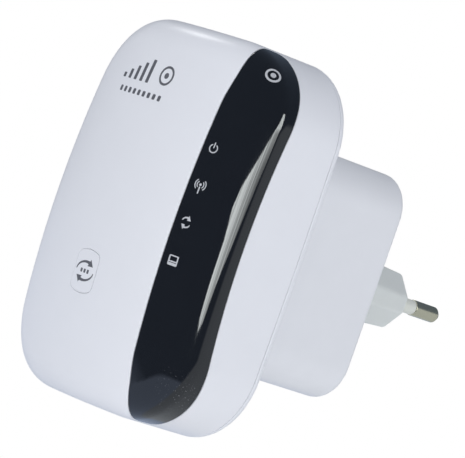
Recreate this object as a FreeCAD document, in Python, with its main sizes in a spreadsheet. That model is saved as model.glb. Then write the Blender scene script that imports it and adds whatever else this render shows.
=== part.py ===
import FreeCAD, Part
import math
import os
import Sketcher
from FreeCAD import Placement, Rotation, Vector

# Plug-in wifi range extender.
# Frame: origin at the centre of the plug neck's outer face, between the two pins.
# +Y points into the wall socket, +Z up, +X to the right when the front is looked at.
# "Depth" is the distance in front of the plug face, so a depth d lies at y = -d.

DIMENSIONS = [
    # front and rear covers
    ("body_width", 65.0), ("body_height", 92.3), ("body_depth", 33.5), ("corner_radius", 18.9),
    ("side_bow", 1270.0), ("end_bow", 4600.0), ("crown_across", 73.7), ("crown_along", 272.0),
    ("shoulder_radius", 8.2), ("wall", 2.2), ("rear_plate", 2.2), ("rim_radius", 1.9),
    ("tongue_gap", 0.1), ("tongue_wall", 1.2), ("tongue_height", 2.5),
    # black light panel
    ("panel_wall", 1.1), ("panel_edge_x", 19.35), ("panel_edge_bow", 4000.0),
    ("panel_edge_depth", 19.65), ("panel_side_bow", 215.0),
    # status lights
    ("light_x", 22.4), ("light_first_z", 19.56), ("light_pitch", 9.09), ("light_post_radius", 1.0),
    ("guide_depth", 74.4), ("guide_wall", 1.5), ("guide_width", 4.0), ("led_wall", 0.8),
    ("led_width", 1.6), ("led_gap", 0.2),
    # pairing button
    ("button_x", -2.7), ("button_z", -17.0), ("button_width", 8.4), ("button_height", 10.3),
    ("button_bow", 9.0), ("button_corner", 1.6), ("button_gap", 0.15), ("button_lip", 1.2),
    ("button_lip_wall", 1.0), ("button_lip_drop", 4.0), ("button_stem", 2.0),
    ("switch_width", 6.0), ("switch_wall", 3.5), ("switch_hole", 1.9), ("switch_hole_depth", 2.5),
    ("plunger_radius", 1.7), ("plunger_out", 1.0), ("plunger_in", 1.8),
    # reset switch behind a pinhole in the bottom wall
    ("reset_x", 8.0), ("reset_z", -38.0), ("reset_width", 6.0), ("reset_height", 4.0),
    ("reset_wall", 3.5), ("reset_hole", 1.0), ("reset_hole_depth", 2.2), ("reset_radius", 0.85),
    ("reset_out", 1.2), ("reset_in", 1.6), ("pinhole", 0.8),
    # screw bosses
    ("boss_x", 22.0), ("boss_z", 35.5), ("boss_radius", 3.0), ("case_thread", 1.2),
    ("case_thread_length", 9.0), ("case_head", 2.4), ("case_head_wall", 1.1),
    ("counterbore", 2.6), ("counterbore_depth", 1.2), ("case_clearance", 1.4),
    ("post_radius", 2.5), ("board_thread", 0.9), ("board_thread_length", 6.0),
    ("board_head", 1.8), ("board_head_wall", 1.0), ("board_clearance", 1.1),
    # main board
    ("board_depth", 68.6), ("board_wall", 1.6), ("board_width", 50.0), ("board_height", 63.0),
    ("board_neck_width", 36.0), ("board_neck_height", 84.0),
    # network jack, open to the bottom
    ("jack_x", -7.0), ("jack_width", 16.0), ("jack_wall", 13.4), ("jack_length", 21.0),
    ("jack_bottom", 46.0), ("shield_wall", 0.4), ("port_width", 11.9), ("port_wall", 6.8),
    ("port_length", 14.0), ("latch_width", 6.2), ("latch_wall", 1.8), ("port_shift", 1.0),
    ("contact_width", 0.45), ("contact_pitch", 1.02), ("contact_length", 10.0),
    ("contact_inset", 1.4), ("jack_opening_gap", 0.3),
    # cooling slots in the top wall
    ("vent_width", 1.4), ("vent_length", 10.0), ("vent_pitch", 3.0), ("vent_depth", 61.0),
    # power housing
    ("housing_width", 48.3), ("housing_height", 56.6), ("housing_depth", 33.1),
    ("housing_corner", 9.8), ("housing_rim", 1.5), ("housing_wall", 2.0), ("flange_out", 2.0),
    ("flange_wall", 1.5), ("ear_width", 20.0), ("ear_height", 67.0), ("stake_x", 7.0),
    ("stake_z", 31.0), ("stake_radius", 1.2),
    # plug neck and pins
    ("neck_length", 17.0), ("neck_width", 35.3), ("neck_height", 13.7), ("neck_end_flat", 4.0),
    ("neck_top_flat", 26.1), ("neck_taper", 1.08), ("neck_rim", 1.0), ("insert_flange_width", 42.0),
    ("insert_flange_height", 20.0), ("insert_flange_wall", 2.0), ("insert_screw_x", 0.0),
    ("insert_screw_z", 15.5), ("insert_ear_width", 8.0), ("insert_ear_height", 38.0),
    ("pin_spacing", 18.6), ("pin_radius", 2.0), ("pin_length", 19.0), ("pin_tilt", 1.66),
    ("pin_core", 1.5), ("pin_tail", 25.0), ("pin_shank", 2.4), ("pin_nose", 1.2),
    ("sleeve_length", 10.0), ("sleeve_radius", 1.83),
    # rating label on the housing's left-hand side
    ("label_width", 22.0), ("label_height", 30.0), ("label_wall", 0.12), ("label_corner", 1.5),
    # power board
    ("power_board_depth", 44.9), ("power_board_width", 42.0), ("power_board_height", 50.0),
    ("power_board_corner", 7.5), ("power_post_x", 17.0), ("power_post_z", 19.0),
    # stamped antennas: a strip on two feet, either side of the middle
    ("antenna_x", 11.0), ("antenna_z", 28.0), ("antenna_width", 10.0), ("antenna_height", 6.0),
    ("antenna_wall", 0.4), ("antenna_rise", 4.0), ("antenna_foot", 1.2), ("antenna_drop", 2.8),
    # heatsink on the wifi chip
    ("sink_width", 13.0), ("sink_base", 1.5), ("sink_fin", 1.0), ("sink_fin_pitch", 2.4),
    ("sink_fin_height", 4.5),
    # transformer
    ("core_x", 2.0), ("core_z", -13.0), ("core_width", 17.0), ("core_wall", 15.0),
    ("core_window_width", 12.0), ("core_window_wall", 11.0), ("core_gap", 1.0),
    ("limb_width", 4.0), ("limb_height", 5.0), ("bobbin_gap", 0.2), ("spool_radius", 4.2),
    ("spool_length", 10.6), ("cheek_radius", 5.9), ("cheek_wall", 0.8), ("coil_radius", 5.6),
    ("coil_length", 8.7),
    # fuse resistor and safety capacitor
    ("fuse_x", -19.0), ("fuse_z", -6.0), ("fuse_radius", 1.6), ("fuse_length", 9.0),
    ("fuse_rise", 1.8), ("disc_x", 8.0), ("disc_z", 6.0), ("disc_width", 3.0),
    ("disc_height", 8.0), ("disc_wall", 9.0),
    # wires and the supply connector
    ("mains_lead_radius", 0.8), ("lead_gap", 0.2), ("supply_x", 2.0), ("supply_z", -4.0),
    ("supply_width", 7.5), ("supply_height", 4.5), ("supply_wall", 6.0),
    ("supply_lead_radius", 0.7), ("supply_lead_pitch", 2.4),
]

# Rectangular parts: name, x, z, width, height, thickness.  Those on the main board stand on its
# rear face, those on the power board on its wall-side face.
MAIN_BLOCKS = [
    ("wifi_chip", 7.0, 8.0, 12.0, 12.0, 1.2),
    ("memory_chip", -9.0, 10.0, 9.0, 12.0, 1.0),
    ("flash_chip", -8.0, 24.0, 6.0, 5.0, 1.6),
    ("crystal", 18.0, 18.0, 4.5, 11.0, 3.4),
    ("lan_transformer", -7.0, -18.0, 13.0, 8.0, 5.5),
    ("voltage_regulator", 8.0, 28.0, 6.5, 3.6, 1.7),
    ("power_inductor", 16.0, -4.0, 6.0, 6.0, 4.0),
]
POWER_BLOCKS = [
    ("bridge_rectifier", -14.0, 9.0, 5.0, 4.2, 2.6),
    ("switching_controller", -15.0, -3.0, 4.0, 5.0, 1.7),
    ("optocoupler", 0.5, 7.0, 4.6, 6.6, 3.6),
    ("output_diode", 15.5, 2.0, 3.6, 6.0, 2.4),
]
# Round parts: name, list of (x, z), radius, height.
MAIN_CANS = [("board_capacitors", [(-18.0, -8.0), (17.0, -14.0)], 2.5, 6.0)]
POWER_CANS = [
    ("input_capacitors", [(-14.5, 19.0), (-4.5, 19.0)], 4.0, 13.0),
    ("input_choke", [(-15.0, -12.0)], 3.2, 9.0),
    ("output_capacitor", [(6.0, 18.5)], 4.0, 14.0),
]

doc = FreeCAD.newDocument("range_extender")
sheet = doc.addObject("Spreadsheet::Sheet", "Sizes")
size = {}
subparts = []


def set_size(name, value):
    """Write one driving dimension into the sheet under its own alias."""
    row = len(size) + 1
    sheet.set(f"A{row}", name)
    sheet.set(f"B{row}", str(value))
    sheet.setAlias(f"B{row}", name)
    size[name] = value


def fill_sheet():
    """Fill the sheet with the driving dimensions and each electronic part's place and size."""
    for name, value in DIMENSIONS:
        set_size(name, value)
    for name, *values in MAIN_BLOCKS + POWER_BLOCKS:
        for suffix, value in zip(("x", "z", "width", "height", "wall"), values):
            set_size(f"{name}_{suffix}", value)
    for name, places, radius, height in MAIN_CANS + POWER_CANS:
        set_size(f"{name}_radius", radius)
        set_size(f"{name}_height", height)
        for count, (x, z) in enumerate(places, start=1):
            set_size(f"{name}_x_{count}a", x)
            set_size(f"{name}_z_{count}a", z)
    doc.recompute()


fill_sheet()

# Depths that several pieces share, as expressions on the sheet.
BACK = "(Sizes.housing_depth + Sizes.neck_length)"
SPLIT = f"({BACK} + Sizes.rear_plate)"
APEX = f"({BACK} + Sizes.body_depth)"
BOARD_FRONT = "(Sizes.board_depth + Sizes.board_wall)"
back_depth = size["housing_depth"] + size["neck_length"]

# Half extents of the cutting profiles, as shares of the body's width and height, and the room
# left in front of the crown.
CROWN_SHARE = 0.62
PANEL_SHARE = 0.6
CROWN_ROOM = 8


# ---------------------------------------------------------------- helpers

def bind(item, **formulas):
    """Bind properties to formulas; a double underscore stands for a dot."""
    for name, formula in formulas.items():
        item.setExpression(name.replace("__", "."), str(formula))


def keep(item, label):
    """Register a finished sub-part under the name of its node."""
    item.Label = label
    subparts.append(item)
    return item


def new_body(name):
    body = doc.addObject("PartDesign::Body", name)
    body.AllowCompound = True
    return body


def new_sketch(body, role, name, x="0", y="0", depth="0"):
    """A sketch on one of the body's origin planes, with its own origin at the given offset."""
    sketch = body.newObject("Sketcher::SketchObject", name)
    plane = next(item for item in body.Origin.OriginFeatures if item.Role == role)
    sketch.AttachmentSupport = [(plane, "")]
    sketch.MapMode = "FlatFace"
    bind(sketch, AttachmentOffset__Base__x=x, AttachmentOffset__Base__y=y,
         AttachmentOffset__Base__z=depth)
    return sketch


def front_sketch(body, name, x="0", z="0", depth="0"):
    """A sketch facing the front, whose pads grow towards the front."""
    return new_sketch(body, "XZ_Plane", name, x, z, depth)


def add_polygon(sketch, corners):
    """A closed polygon; each corner is a start point and two formulas."""
    first = sketch.GeometryCount
    count = len(corners)
    points = [Vector(x, y, 0) for (x, y), _ in corners]
    for i in range(count):
        sketch.addGeometry(Part.LineSegment(points[i], points[(i + 1) % count]), False)
    for i in range(count):
        following = first + (i + 1) % count
        sketch.addConstraint(Sketcher.Constraint("Coincident", first + i, 2, following, 1))
    for i, (start, formulas) in enumerate(corners):
        for kind, value, formula in zip(("DistanceX", "DistanceY"), start, formulas):
            index = sketch.addConstraint(Sketcher.Constraint(kind, -1, 1, first + i, 1, value))
            sketch.setExpression(f"Constraints[{index}]", formula)


def add_rectangle(sketch, width, height):
    """A rectangle centred on the sketch's origin."""
    corners = []
    for sx, sy in ((-1, -1), (1, -1), (1, 1), (-1, 1)):
        formulas = (f"{sx} * ({width}) / 2", f"{sy} * ({height}) / 2")
        corners.append(((5.0 * sx, 5.0 * sy), formulas))
    add_polygon(sketch, corners)


def add_circle(sketch, radius, x="0", y="0", start=(0.0, 0.0)):
    """A circle with bound radius and centre."""
    centre = Vector(start[0], start[1], 0)
    index = sketch.addGeometry(Part.Circle(centre, Vector(0, 0, 1), 1.0), False)
    row = sketch.addConstraint(Sketcher.Constraint("Radius", index, 1.0))
    sketch.setExpression(f"Constraints[{row}]", radius)
    for kind, value, formula in zip(("DistanceX", "DistanceY"), start, (x, y)):
        row = sketch.addConstraint(Sketcher.Constraint(kind, -1, 1, index, 3, value))
        sketch.setExpression(f"Constraints[{row}]", formula)


def add_bowed_outline(sketch, half_width, half_height, corner, side_bow, end_bow, inset):
    """A rounded rectangle whose four sides are long arcs, tangent to the corner arcs.

    The first five arguments name cells; inset is a pair (number, formula) taken off all of them.
    """
    offset, offset_formula = inset
    reach_x = size[half_width] / 2 - offset
    reach_y = size[half_height] / 2 - offset
    side = size[side_bow] - offset
    end = size[end_bow] - offset
    radius = size[corner] - offset
    side_centre = side - reach_x
    end_centre = end - reach_y
    # The corner's centre lies (side - radius) from one arc's centre and (end - radius) from the
    # other's; a few rounds of substitution find it.
    cx = reach_x - radius
    for _ in range(40):
        cy = math.sqrt((end - radius) ** 2 - cx ** 2) - end_centre
        cx = math.sqrt((side - radius) ** 2 - cy ** 2) - side_centre
    side_angle = math.atan2(cy, cx + side_centre)
    end_angle = math.atan2(cy + end_centre, cx)
    arcs = []
    for turn in (0, 180):
        low = math.radians(turn)
        sign = 1 if turn == 0 else -1
        arcs += [
            (-sign * side_centre, 0, side, low - side_angle, low + side_angle),
            (sign * cx, sign * cy, radius, low + side_angle, low + end_angle),
            (0, -sign * end_centre, end, low + end_angle, low + math.pi - end_angle),
            (-sign * cx, sign * cy, radius, low + math.pi - end_angle, low + math.pi - side_angle),
        ]
    first = sketch.GeometryCount
    for x, y, arc_radius, low, high in arcs:
        circle = Part.Circle(Vector(x, y, 0), Vector(0, 0, 1), arc_radius)
        sketch.addGeometry(Part.ArcOfCircle(circle, low, high), False)
    for i in range(8):
        following = first + (i + 1) % 8
        sketch.addConstraint(Sketcher.Constraint("Tangent", first + i, 2, following, 1))
    radii = (side_bow, corner, end_bow, corner) * 2
    for i, name in enumerate(radii):
        row = sketch.addConstraint(Sketcher.Constraint("Radius", first + i, arcs[i][2]))
        sketch.setExpression(f"Constraints[{row}]", f"Sizes.{name} - {offset_formula}")
    for i, kind, bow, reach in ((0, "DistanceX", side_bow, half_width),
                                (4, "DistanceX", side_bow, half_width),
                                (2, "DistanceY", end_bow, half_height),
                                (6, "DistanceY", end_bow, half_height)):
        sign = -1 if i in (0, 2) else 1
        value = arcs[i][0] if kind == "DistanceX" else arcs[i][1]
        row = sketch.addConstraint(Sketcher.Constraint(kind, -1, 1, first + i, 3, value))
        formula = f"{sign} * (Sizes.{bow} - Sizes.{reach} / 2)"
        sketch.setExpression(f"Constraints[{row}]", formula)
        other = "DistanceY" if kind == "DistanceX" else "DistanceX"
        sketch.addConstraint(Sketcher.Constraint(other, -1, 1, first + i, 3, 0.0))


def body_outline(sketch, inset=(0.0, "0")):
    add_bowed_outline(sketch, "body_width", "body_height", "corner_radius", "side_bow", "end_bow",
                      inset)


def pad(body, sketch, name, length, backwards=False, taper=None):
    """Pad towards the front, or towards the wall when backwards is set."""
    feature = body.newObject("PartDesign::Pad", name)
    feature.Profile = sketch
    feature.Reversed = backwards
    bind(feature, Length=length)
    if taper:
        bind(feature, TaperAngle=taper)
    body.Tip = feature
    doc.recompute()
    return feature


def fillet(body, name, test, radius, of="Edge"):
    """Round every edge of the body that passes the test, or all edges of each such face."""
    base = body.Tip
    items = base.Shape.Edges if of == "Edge" else base.Shape.Faces
    names = [f"{of}{i}" for i, item in enumerate(items, start=1) if test(item)]
    feature = body.newObject("PartDesign::Fillet", name)
    feature.Base = (base, names)
    bind(feature, Radius=radius)
    body.Tip = feature
    doc.recompute()
    return feature


def box_of(edge):
    return edge.BoundBox


def at_depth(edge, depth):
    """True for an edge that lies in the plane of one depth."""
    box = box_of(edge)
    return abs(box.YMin + depth) < 0.01 and abs(box.YMax + depth) < 0.01


def along_y(edge):
    box = box_of(edge)
    return box.XLength < 0.01 and box.ZLength < 0.01


def along_x(edge):
    box = box_of(edge)
    return box.YLength < 0.01 and box.ZLength < 0.01


def cut(name, base, tool):
    result = doc.addObject("Part::Cut", name)
    result.Base = base
    result.Tool = tool
    return result


def common(name, first, second):
    result = doc.addObject("Part::Common", name)
    result.Base = first
    result.Tool = second
    return result


def fuse(name, shapes):
    result = doc.addObject("Part::MultiFuse", name)
    result.Shapes = shapes
    result.Refine = True
    return result


def group(name, shapes):
    result = doc.addObject("Part::Compound", name)
    result.Links = shapes
    return result


def block(name, x, depth, z, width, height, wall):
    """A box from one depth forwards, centred on x and z."""
    item = doc.addObject("Part::Box", name)
    bind(item, Length=width, Height=height, Width=wall,
         Placement__Base__x=f"({x}) - ({width}) / 2",
         Placement__Base__y=f"-({depth}) - ({wall})",
         Placement__Base__z=f"({z}) - ({height}) / 2")
    return item


def rod(name, x, depth, z, radius, length):
    """A cylinder along Y, from one depth towards the wall."""
    item = doc.addObject("Part::Cylinder", name)
    item.Placement = Placement(Vector(0, 0, 0), Rotation(Vector(1, 0, 0), -90))
    bind(item, Radius=radius, Height=length, Placement__Base__x=x,
         Placement__Base__y=f"-({depth})", Placement__Base__z=z)
    return item


def upright(name, x, depth, z, radius, length):
    """A cylinder along Z, upwards from z."""
    item = doc.addObject("Part::Cylinder", name)
    bind(item, Radius=radius, Height=length, Placement__Base__x=x,
         Placement__Base__y=f"-({depth})", Placement__Base__z=z)
    return item


# ---------------------------------------------------------------- covers

def crowned_block(name, inset_cell=None, start=SPLIT):
    """The main body's outer form, or the same form a wall thickness further in."""
    offset = size[inset_cell] if inset_cell else 0.0
    formula = f"Sizes.{inset_cell}" if inset_cell else "0"
    body = new_body(name)
    outline = front_sketch(body, "Outline", depth=start)
    body_outline(outline, (offset, formula))
    pad(body, outline, "Block", f"{APEX} - {formula} - {start}")
    # The crown is cut by turning the space in front of an arc about an axis far behind it.
    sketch = new_sketch(body, "XY_Plane", "CrownArc", y=f"Sizes.crown_along - {APEX}")
    across = size["crown_across"] - offset
    along = size["crown_along"] - offset
    half = CROWN_SHARE * size["body_width"]
    edge = math.sqrt(across ** 2 - half ** 2)
    centre = -(size["crown_along"] - size["crown_across"])
    outer = -along - CROWN_ROOM
    side_y = centre - edge
    angle = math.atan2(half, edge)
    circle = Part.Circle(Vector(0, centre, 0), Vector(0, 0, 1), across)
    arc = Part.ArcOfCircle(circle, -math.pi / 2 - angle, -math.pi / 2 + angle)
    sketch.addGeometry(arc, False)
    lines = (((half, side_y), (half, outer)), ((half, outer), (-half, outer)),
             ((-half, outer), (-half, side_y)))
    for (x1, y1), (x2, y2) in lines:
        sketch.addGeometry(Part.LineSegment(Vector(x1, y1, 0), Vector(x2, y2, 0)), False)
    for first, second in ((0, 1), (1, 2), (2, 3)):
        sketch.addConstraint(Sketcher.Constraint("Coincident", first, 2, second, 1))
    sketch.addConstraint(Sketcher.Constraint("Coincident", 3, 2, 0, 1))
    sketch.addConstraint(Sketcher.Constraint("Horizontal", 2))
    sketch.addConstraint(Sketcher.Constraint("Vertical", 1))
    sketch.addConstraint(Sketcher.Constraint("Vertical", 3))
    rows = (
        ("Radius", (0,), across, f"Sizes.crown_across - {formula}"),
        ("DistanceX", (-1, 1, 0, 3), 0.0, "0"),
        ("DistanceY", (-1, 1, 0, 3), centre, "Sizes.crown_across - Sizes.crown_along"),
        ("DistanceX", (-1, 1, 1, 1), half, f"{CROWN_SHARE} * Sizes.body_width"),
        ("DistanceX", (-1, 1, 3, 1), -half, f"-{CROWN_SHARE} * Sizes.body_width"),
        ("DistanceY", (-1, 1, 1, 2), outer, f"{formula} - Sizes.crown_along - {CROWN_ROOM}"),
    )
    for kind, places, value, text in rows:
        row = sketch.addConstraint(Sketcher.Constraint(kind, *places, value))
        if text != "0":
            sketch.setExpression(f"Constraints[{row}]", text)
    crown = body.newObject("PartDesign::Groove", "Crown")
    crown.Profile = sketch
    crown.ReferenceAxis = (sketch, ["H_Axis"])
    crown.Angle = 40
    crown.Midplane = True
    body.Tip = crown
    doc.recompute()
    fillet(body, "Shoulder", lambda face: "Toroid" in str(face.Surface),
           f"Sizes.shoulder_radius - {formula}", of="Face")
    return body


def panel_region():
    """The space to the right of one long arc and in front of another, both seen edge on."""
    reach = PANEL_SHARE * size["body_height"]
    front = new_body("PanelFrontRegion")
    outline = front_sketch(front, "LeftEdge", depth=BACK)
    add_arc_side(outline, "Sizes.panel_edge_x", "Sizes.panel_edge_bow", "Sizes.body_width",
                 (size["panel_edge_x"], size["panel_edge_bow"], size["body_width"]), reach)
    pad(front, outline, "FrontSpace", "Sizes.body_depth + 5")
    side = new_body("PanelSideRegion")
    outline = new_sketch(side, "YZ_Plane", "SideEdge", x=f"-({BACK} + Sizes.panel_edge_depth)")
    add_arc_side(outline, "0", "Sizes.panel_side_bow", "-Sizes.body_depth",
                 (0.0, size["panel_side_bow"], -size["body_depth"]), reach)
    pad(side, outline, "SideSpace", "Sizes.body_width")
    return common("PanelRegion", front, side)


def add_arc_side(sketch, apex, bow, far, start, reach):
    """A region from a shallow arc, nearest at mid height, to a straight far side."""
    x0, radius, x1 = start
    centre = x0 + radius
    angle = math.asin(reach / radius)
    circle = Part.Circle(Vector(centre, 0, 0), Vector(0, 0, 1), radius)
    sketch.addGeometry(Part.ArcOfCircle(circle, math.pi - angle, math.pi + angle), False)
    edge_x = centre - radius * math.cos(angle)
    corners = ((edge_x, -reach), (x1, -reach), (x1, reach), (edge_x, reach))
    for (ax, ay), (bx, by) in zip(corners, corners[1:]):
        sketch.addGeometry(Part.LineSegment(Vector(ax, ay, 0), Vector(bx, by, 0)), False)
    for first in range(3):
        sketch.addConstraint(Sketcher.Constraint("Coincident", first, 2, first + 1, 1))
    sketch.addConstraint(Sketcher.Constraint("Coincident", 3, 2, 0, 1))
    sketch.addConstraint(Sketcher.Constraint("Horizontal", 1))
    sketch.addConstraint(Sketcher.Constraint("Vertical", 2))
    sketch.addConstraint(Sketcher.Constraint("Horizontal", 3))
    sketch.addConstraint(Sketcher.Constraint("PointOnObject", 0, 3, -1))
    rows = (
        ("Radius", (0,), radius, bow),
        ("DistanceX", (-1, 1, 0, 3), centre, f"{apex} + {bow}"),
        ("DistanceX", (-1, 1, 2, 1), x1, far),
        ("DistanceY", (-1, 1, 2, 1), -reach, f"-{PANEL_SHARE} * Sizes.body_height"),
        ("DistanceY", (-1, 1, 2, 2), reach, f"{PANEL_SHARE} * Sizes.body_height"),
    )
    for kind, places, value, text in rows:
        row = sketch.addConstraint(Sketcher.Constraint(kind, *places, value))
        sketch.setExpression(f"Constraints[{row}]", text)


def light_heights():
    return [f"Sizes.light_first_z - {count} * Sizes.light_pitch" for count in range(4)]


def light_posts(name, depth, length):
    """Four small rods behind the four icons."""
    return [rod(f"{name}{count}", "Sizes.light_x", depth, z, "Sizes.light_post_radius", length)
            for count, z in enumerate(light_heights())]


def button_outline(sketch, grow, number):
    """A rounded rectangle whose top and bottom bow outwards."""
    half_x = size["button_width"] / 2 + number
    half_z = size["button_height"] / 2 + number
    bow = size["button_bow"] + number
    centre = half_z - bow
    edge_z = centre + math.sqrt(bow ** 2 - half_x ** 2)
    angle = math.atan2(edge_z - centre, half_x)
    for sign in (1, -1):
        turn = 0 if sign == 1 else math.pi
        circle = Part.Circle(Vector(0, sign * centre, 0), Vector(0, 0, 1), bow)
        low, high = turn + angle, turn + math.pi - angle
        sketch.addGeometry(Part.ArcOfCircle(circle, low, high), False)
        ends = Vector(-sign * half_x, sign * edge_z, 0), Vector(-sign * half_x, -sign * edge_z, 0)
        sketch.addGeometry(Part.LineSegment(*ends), False)
    for first in range(4):
        sketch.addConstraint(Sketcher.Constraint("Coincident", first, 2, (first + 1) % 4, 1))
    sketch.addConstraint(Sketcher.Constraint("Vertical", 1))
    sketch.addConstraint(Sketcher.Constraint("Vertical", 3))
    for arc, sign in ((0, 1), (2, -1)):
        sketch.addConstraint(Sketcher.Constraint("PointOnObject", arc, 3, -2))
        row = sketch.addConstraint(Sketcher.Constraint("Radius", arc, bow))
        sketch.setExpression(f"Constraints[{row}]", f"Sizes.button_bow + {grow}")
        row = sketch.addConstraint(
            Sketcher.Constraint("DistanceY", -1, 1, arc, 3, sign * centre))
        sketch.setExpression(f"Constraints[{row}]",
                             f"{sign} * (Sizes.button_height / 2 - Sizes.button_bow)")
    for line, sign in ((1, -1), (3, 1)):
        row = sketch.addConstraint(
            Sketcher.Constraint("DistanceX", -1, 1, line, 1, sign * half_x))
        sketch.setExpression(f"Constraints[{row}]", f"{sign} * (Sizes.button_width / 2 + {grow})")


def button_prism(name, grow, number, depth, length):
    body = new_body(name)
    sketch = front_sketch(body, "Outline", "Sizes.button_x", "Sizes.button_z", depth)
    button_outline(sketch, grow, number)
    pad(body, sketch, "Prism", length)
    fillet(body, "Corners", along_y, f"Sizes.button_corner + {grow}")
    return body


def boss_places():
    """Formulas for the four case screws, one near each corner."""
    return [(f"{sx} * Sizes.boss_x", f"{sz} * Sizes.boss_z") for sx in (-1, 1) for sz in (-1, 1)]


POST_PLACES = [("-20", "24"), ("-20", "-25"), ("13", "37.5")]


def front_cover(outer, middle, inner, panel):
    """White front shell: crowned front, recess for the panel, openings, bosses and posts."""
    shell = cut("CoverShell", outer, inner)
    sunk = cut("CoverRecess", shell, panel)
    lamp_holes = light_posts("LampHole", APEX, "Sizes.body_depth / 2")
    button_hole = button_prism("ButtonHole", "Sizes.button_gap", size["button_gap"],
                               f"{APEX} - 6", "8")
    floor_z = "-Sizes.body_height / 2 - 1"
    jack_hole = block("JackHole", "Sizes.jack_x",
                      "Sizes.board_depth - Sizes.jack_wall - Sizes.jack_opening_gap",
                      f"{floor_z} + 2.5", "Sizes.jack_width + 2 * Sizes.jack_opening_gap", "5",
                      "Sizes.jack_wall + 2 * Sizes.jack_opening_gap")
    reset_depth = "Sizes.board_depth - Sizes.reset_wall / 2"
    pinhole = upright("Pinhole", "Sizes.reset_x", reset_depth, floor_z, "Sizes.pinhole", "6")
    vent_start = "Sizes.vent_depth - Sizes.vent_length / 2"
    vents = [block(f"Vent{i}", f"{i} * Sizes.vent_pitch", vent_start, "Sizes.body_height / 2",
                   "Sizes.vent_width", "8", "Sizes.vent_length") for i in range(-4, 5)]
    openings = fuse("CoverOpenings", lamp_holes + [button_hole, jack_hole, pinhole] + vents)
    opened = cut("CoverOpened", sunk, openings)
    bosses = [rod(f"Boss{i}", x, APEX, z, "Sizes.boss_radius", f"{APEX} - {SPLIT}")
              for i, (x, z) in enumerate(boss_places())]
    posts = [rod(f"Post{i}", x, APEX, z, "Sizes.post_radius", f"{APEX} - {BOARD_FRONT}")
             for i, (x, z) in enumerate(POST_PLACES)]
    supports = common("Supports", fuse("SupportRods", bosses + posts), middle)
    whole = fuse("CoverWithSupports", [opened, supports])
    threads = [rod(f"BossBore{i}", x, f"{SPLIT} + Sizes.case_thread_length", z,
                   "Sizes.case_thread", "Sizes.case_thread_length")
               for i, (x, z) in enumerate(boss_places())]
    threads += [rod(f"PostBore{i}", x, f"{BOARD_FRONT} + Sizes.board_thread_length / 2", z,
                    "Sizes.board_thread", "Sizes.board_thread_length / 2")
                for i, (x, z) in enumerate(POST_PLACES)]
    keep(cut("FrontCover", whole, fuse("CoverBores", threads)), "front_cover")


def light_guide(middle):
    """Clear bar with four posts: up to the panel and down to the status lights."""
    bar = block("GuideBar", "Sizes.light_x", "Sizes.guide_depth",
                "Sizes.light_first_z - 1.5 * Sizes.light_pitch", "Sizes.guide_width",
                "3 * Sizes.light_pitch + Sizes.guide_width", "Sizes.guide_wall")
    posts = light_posts("GuidePost", APEX,
                        f"{APEX} - {BOARD_FRONT} - Sizes.led_wall - Sizes.led_gap")
    keep(common("LightGuide", fuse("GuideParts", [bar] + posts), middle), "light_guide")


def status_leds():
    lamps = [block(f"Lamp{i}", "Sizes.light_x", BOARD_FRONT, z, "Sizes.led_width",
                   "Sizes.led_width / 2", "Sizes.led_wall")
             for i, z in enumerate(light_heights())]
    keep(group("StatusLeds", lamps), "status_leds")


def pairing_button(outer):
    """Cap flush with the crown, lip behind the cover's wall and stem down to the switch."""
    cap = common("ButtonCap", outer, button_prism("ButtonCapPrism", "0", 0.0,
                                                  f"{APEX} - Sizes.button_lip_drop", "5"))
    lip = button_prism("ButtonLip", "Sizes.button_lip", size["button_lip"],
                       f"{APEX} - Sizes.button_lip_drop - Sizes.button_lip_wall",
                       "Sizes.button_lip_wall")
    switch_top = f"({BOARD_FRONT} + Sizes.switch_wall + Sizes.plunger_out)"
    stem = rod("ButtonStem", "Sizes.button_x", f"{APEX} - Sizes.button_lip_drop", "Sizes.button_z",
               "Sizes.button_stem", f"{APEX} - Sizes.button_lip_drop - {switch_top}")
    keep(fuse("PairingButton", [cap, lip, stem]), "pairing_button")


def pairing_switch():
    case = block("SwitchCase", "Sizes.button_x", BOARD_FRONT, "Sizes.button_z",
                 "Sizes.switch_width", "Sizes.switch_width", "Sizes.switch_wall")
    top = f"{BOARD_FRONT} + Sizes.switch_wall"
    well = rod("SwitchWell", "Sizes.button_x", top, "Sizes.button_z", "Sizes.switch_hole",
               "Sizes.switch_hole_depth")
    keep(cut("PairingSwitch", case, well), "pairing_switch")
    plunger = rod("PairingPlunger", "Sizes.button_x", f"{top} + Sizes.plunger_out",
                  "Sizes.button_z", "Sizes.plunger_radius",
                  "Sizes.plunger_out + Sizes.plunger_in")
    keep(plunger, "pairing_plunger")


def reset_switch():
    """Small switch whose plunger points down at the pinhole."""
    depth = "Sizes.board_depth - Sizes.reset_wall"
    middle = "Sizes.board_depth - Sizes.reset_wall / 2"
    case = block("ResetCase", "Sizes.reset_x", depth, "Sizes.reset_z", "Sizes.reset_width",
                 "Sizes.reset_height", "Sizes.reset_wall")
    bottom = "Sizes.reset_z - Sizes.reset_height / 2"
    well = upright("ResetWell", "Sizes.reset_x", middle, bottom, "Sizes.reset_hole",
                   "Sizes.reset_hole_depth")
    keep(cut("ResetSwitch", case, well), "reset_switch")
    plunger = upright("ResetPlunger", "Sizes.reset_x", middle, f"{bottom} - Sizes.reset_out",
                      "Sizes.reset_radius", "Sizes.reset_out + Sizes.reset_in")
    keep(plunger, "reset_plunger")


def rounded_prism(name, width, height, corner, depth, length, backwards=False):
    """A block with four rounded upright corners, kept as a body for more features."""
    body = new_body(name)
    sketch = front_sketch(body, "Outline", depth=depth)
    add_rectangle(sketch, width, height)
    pad(body, sketch, "Block", length, backwards)
    fillet(body, "Corners", along_y, corner)
    return body


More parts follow.
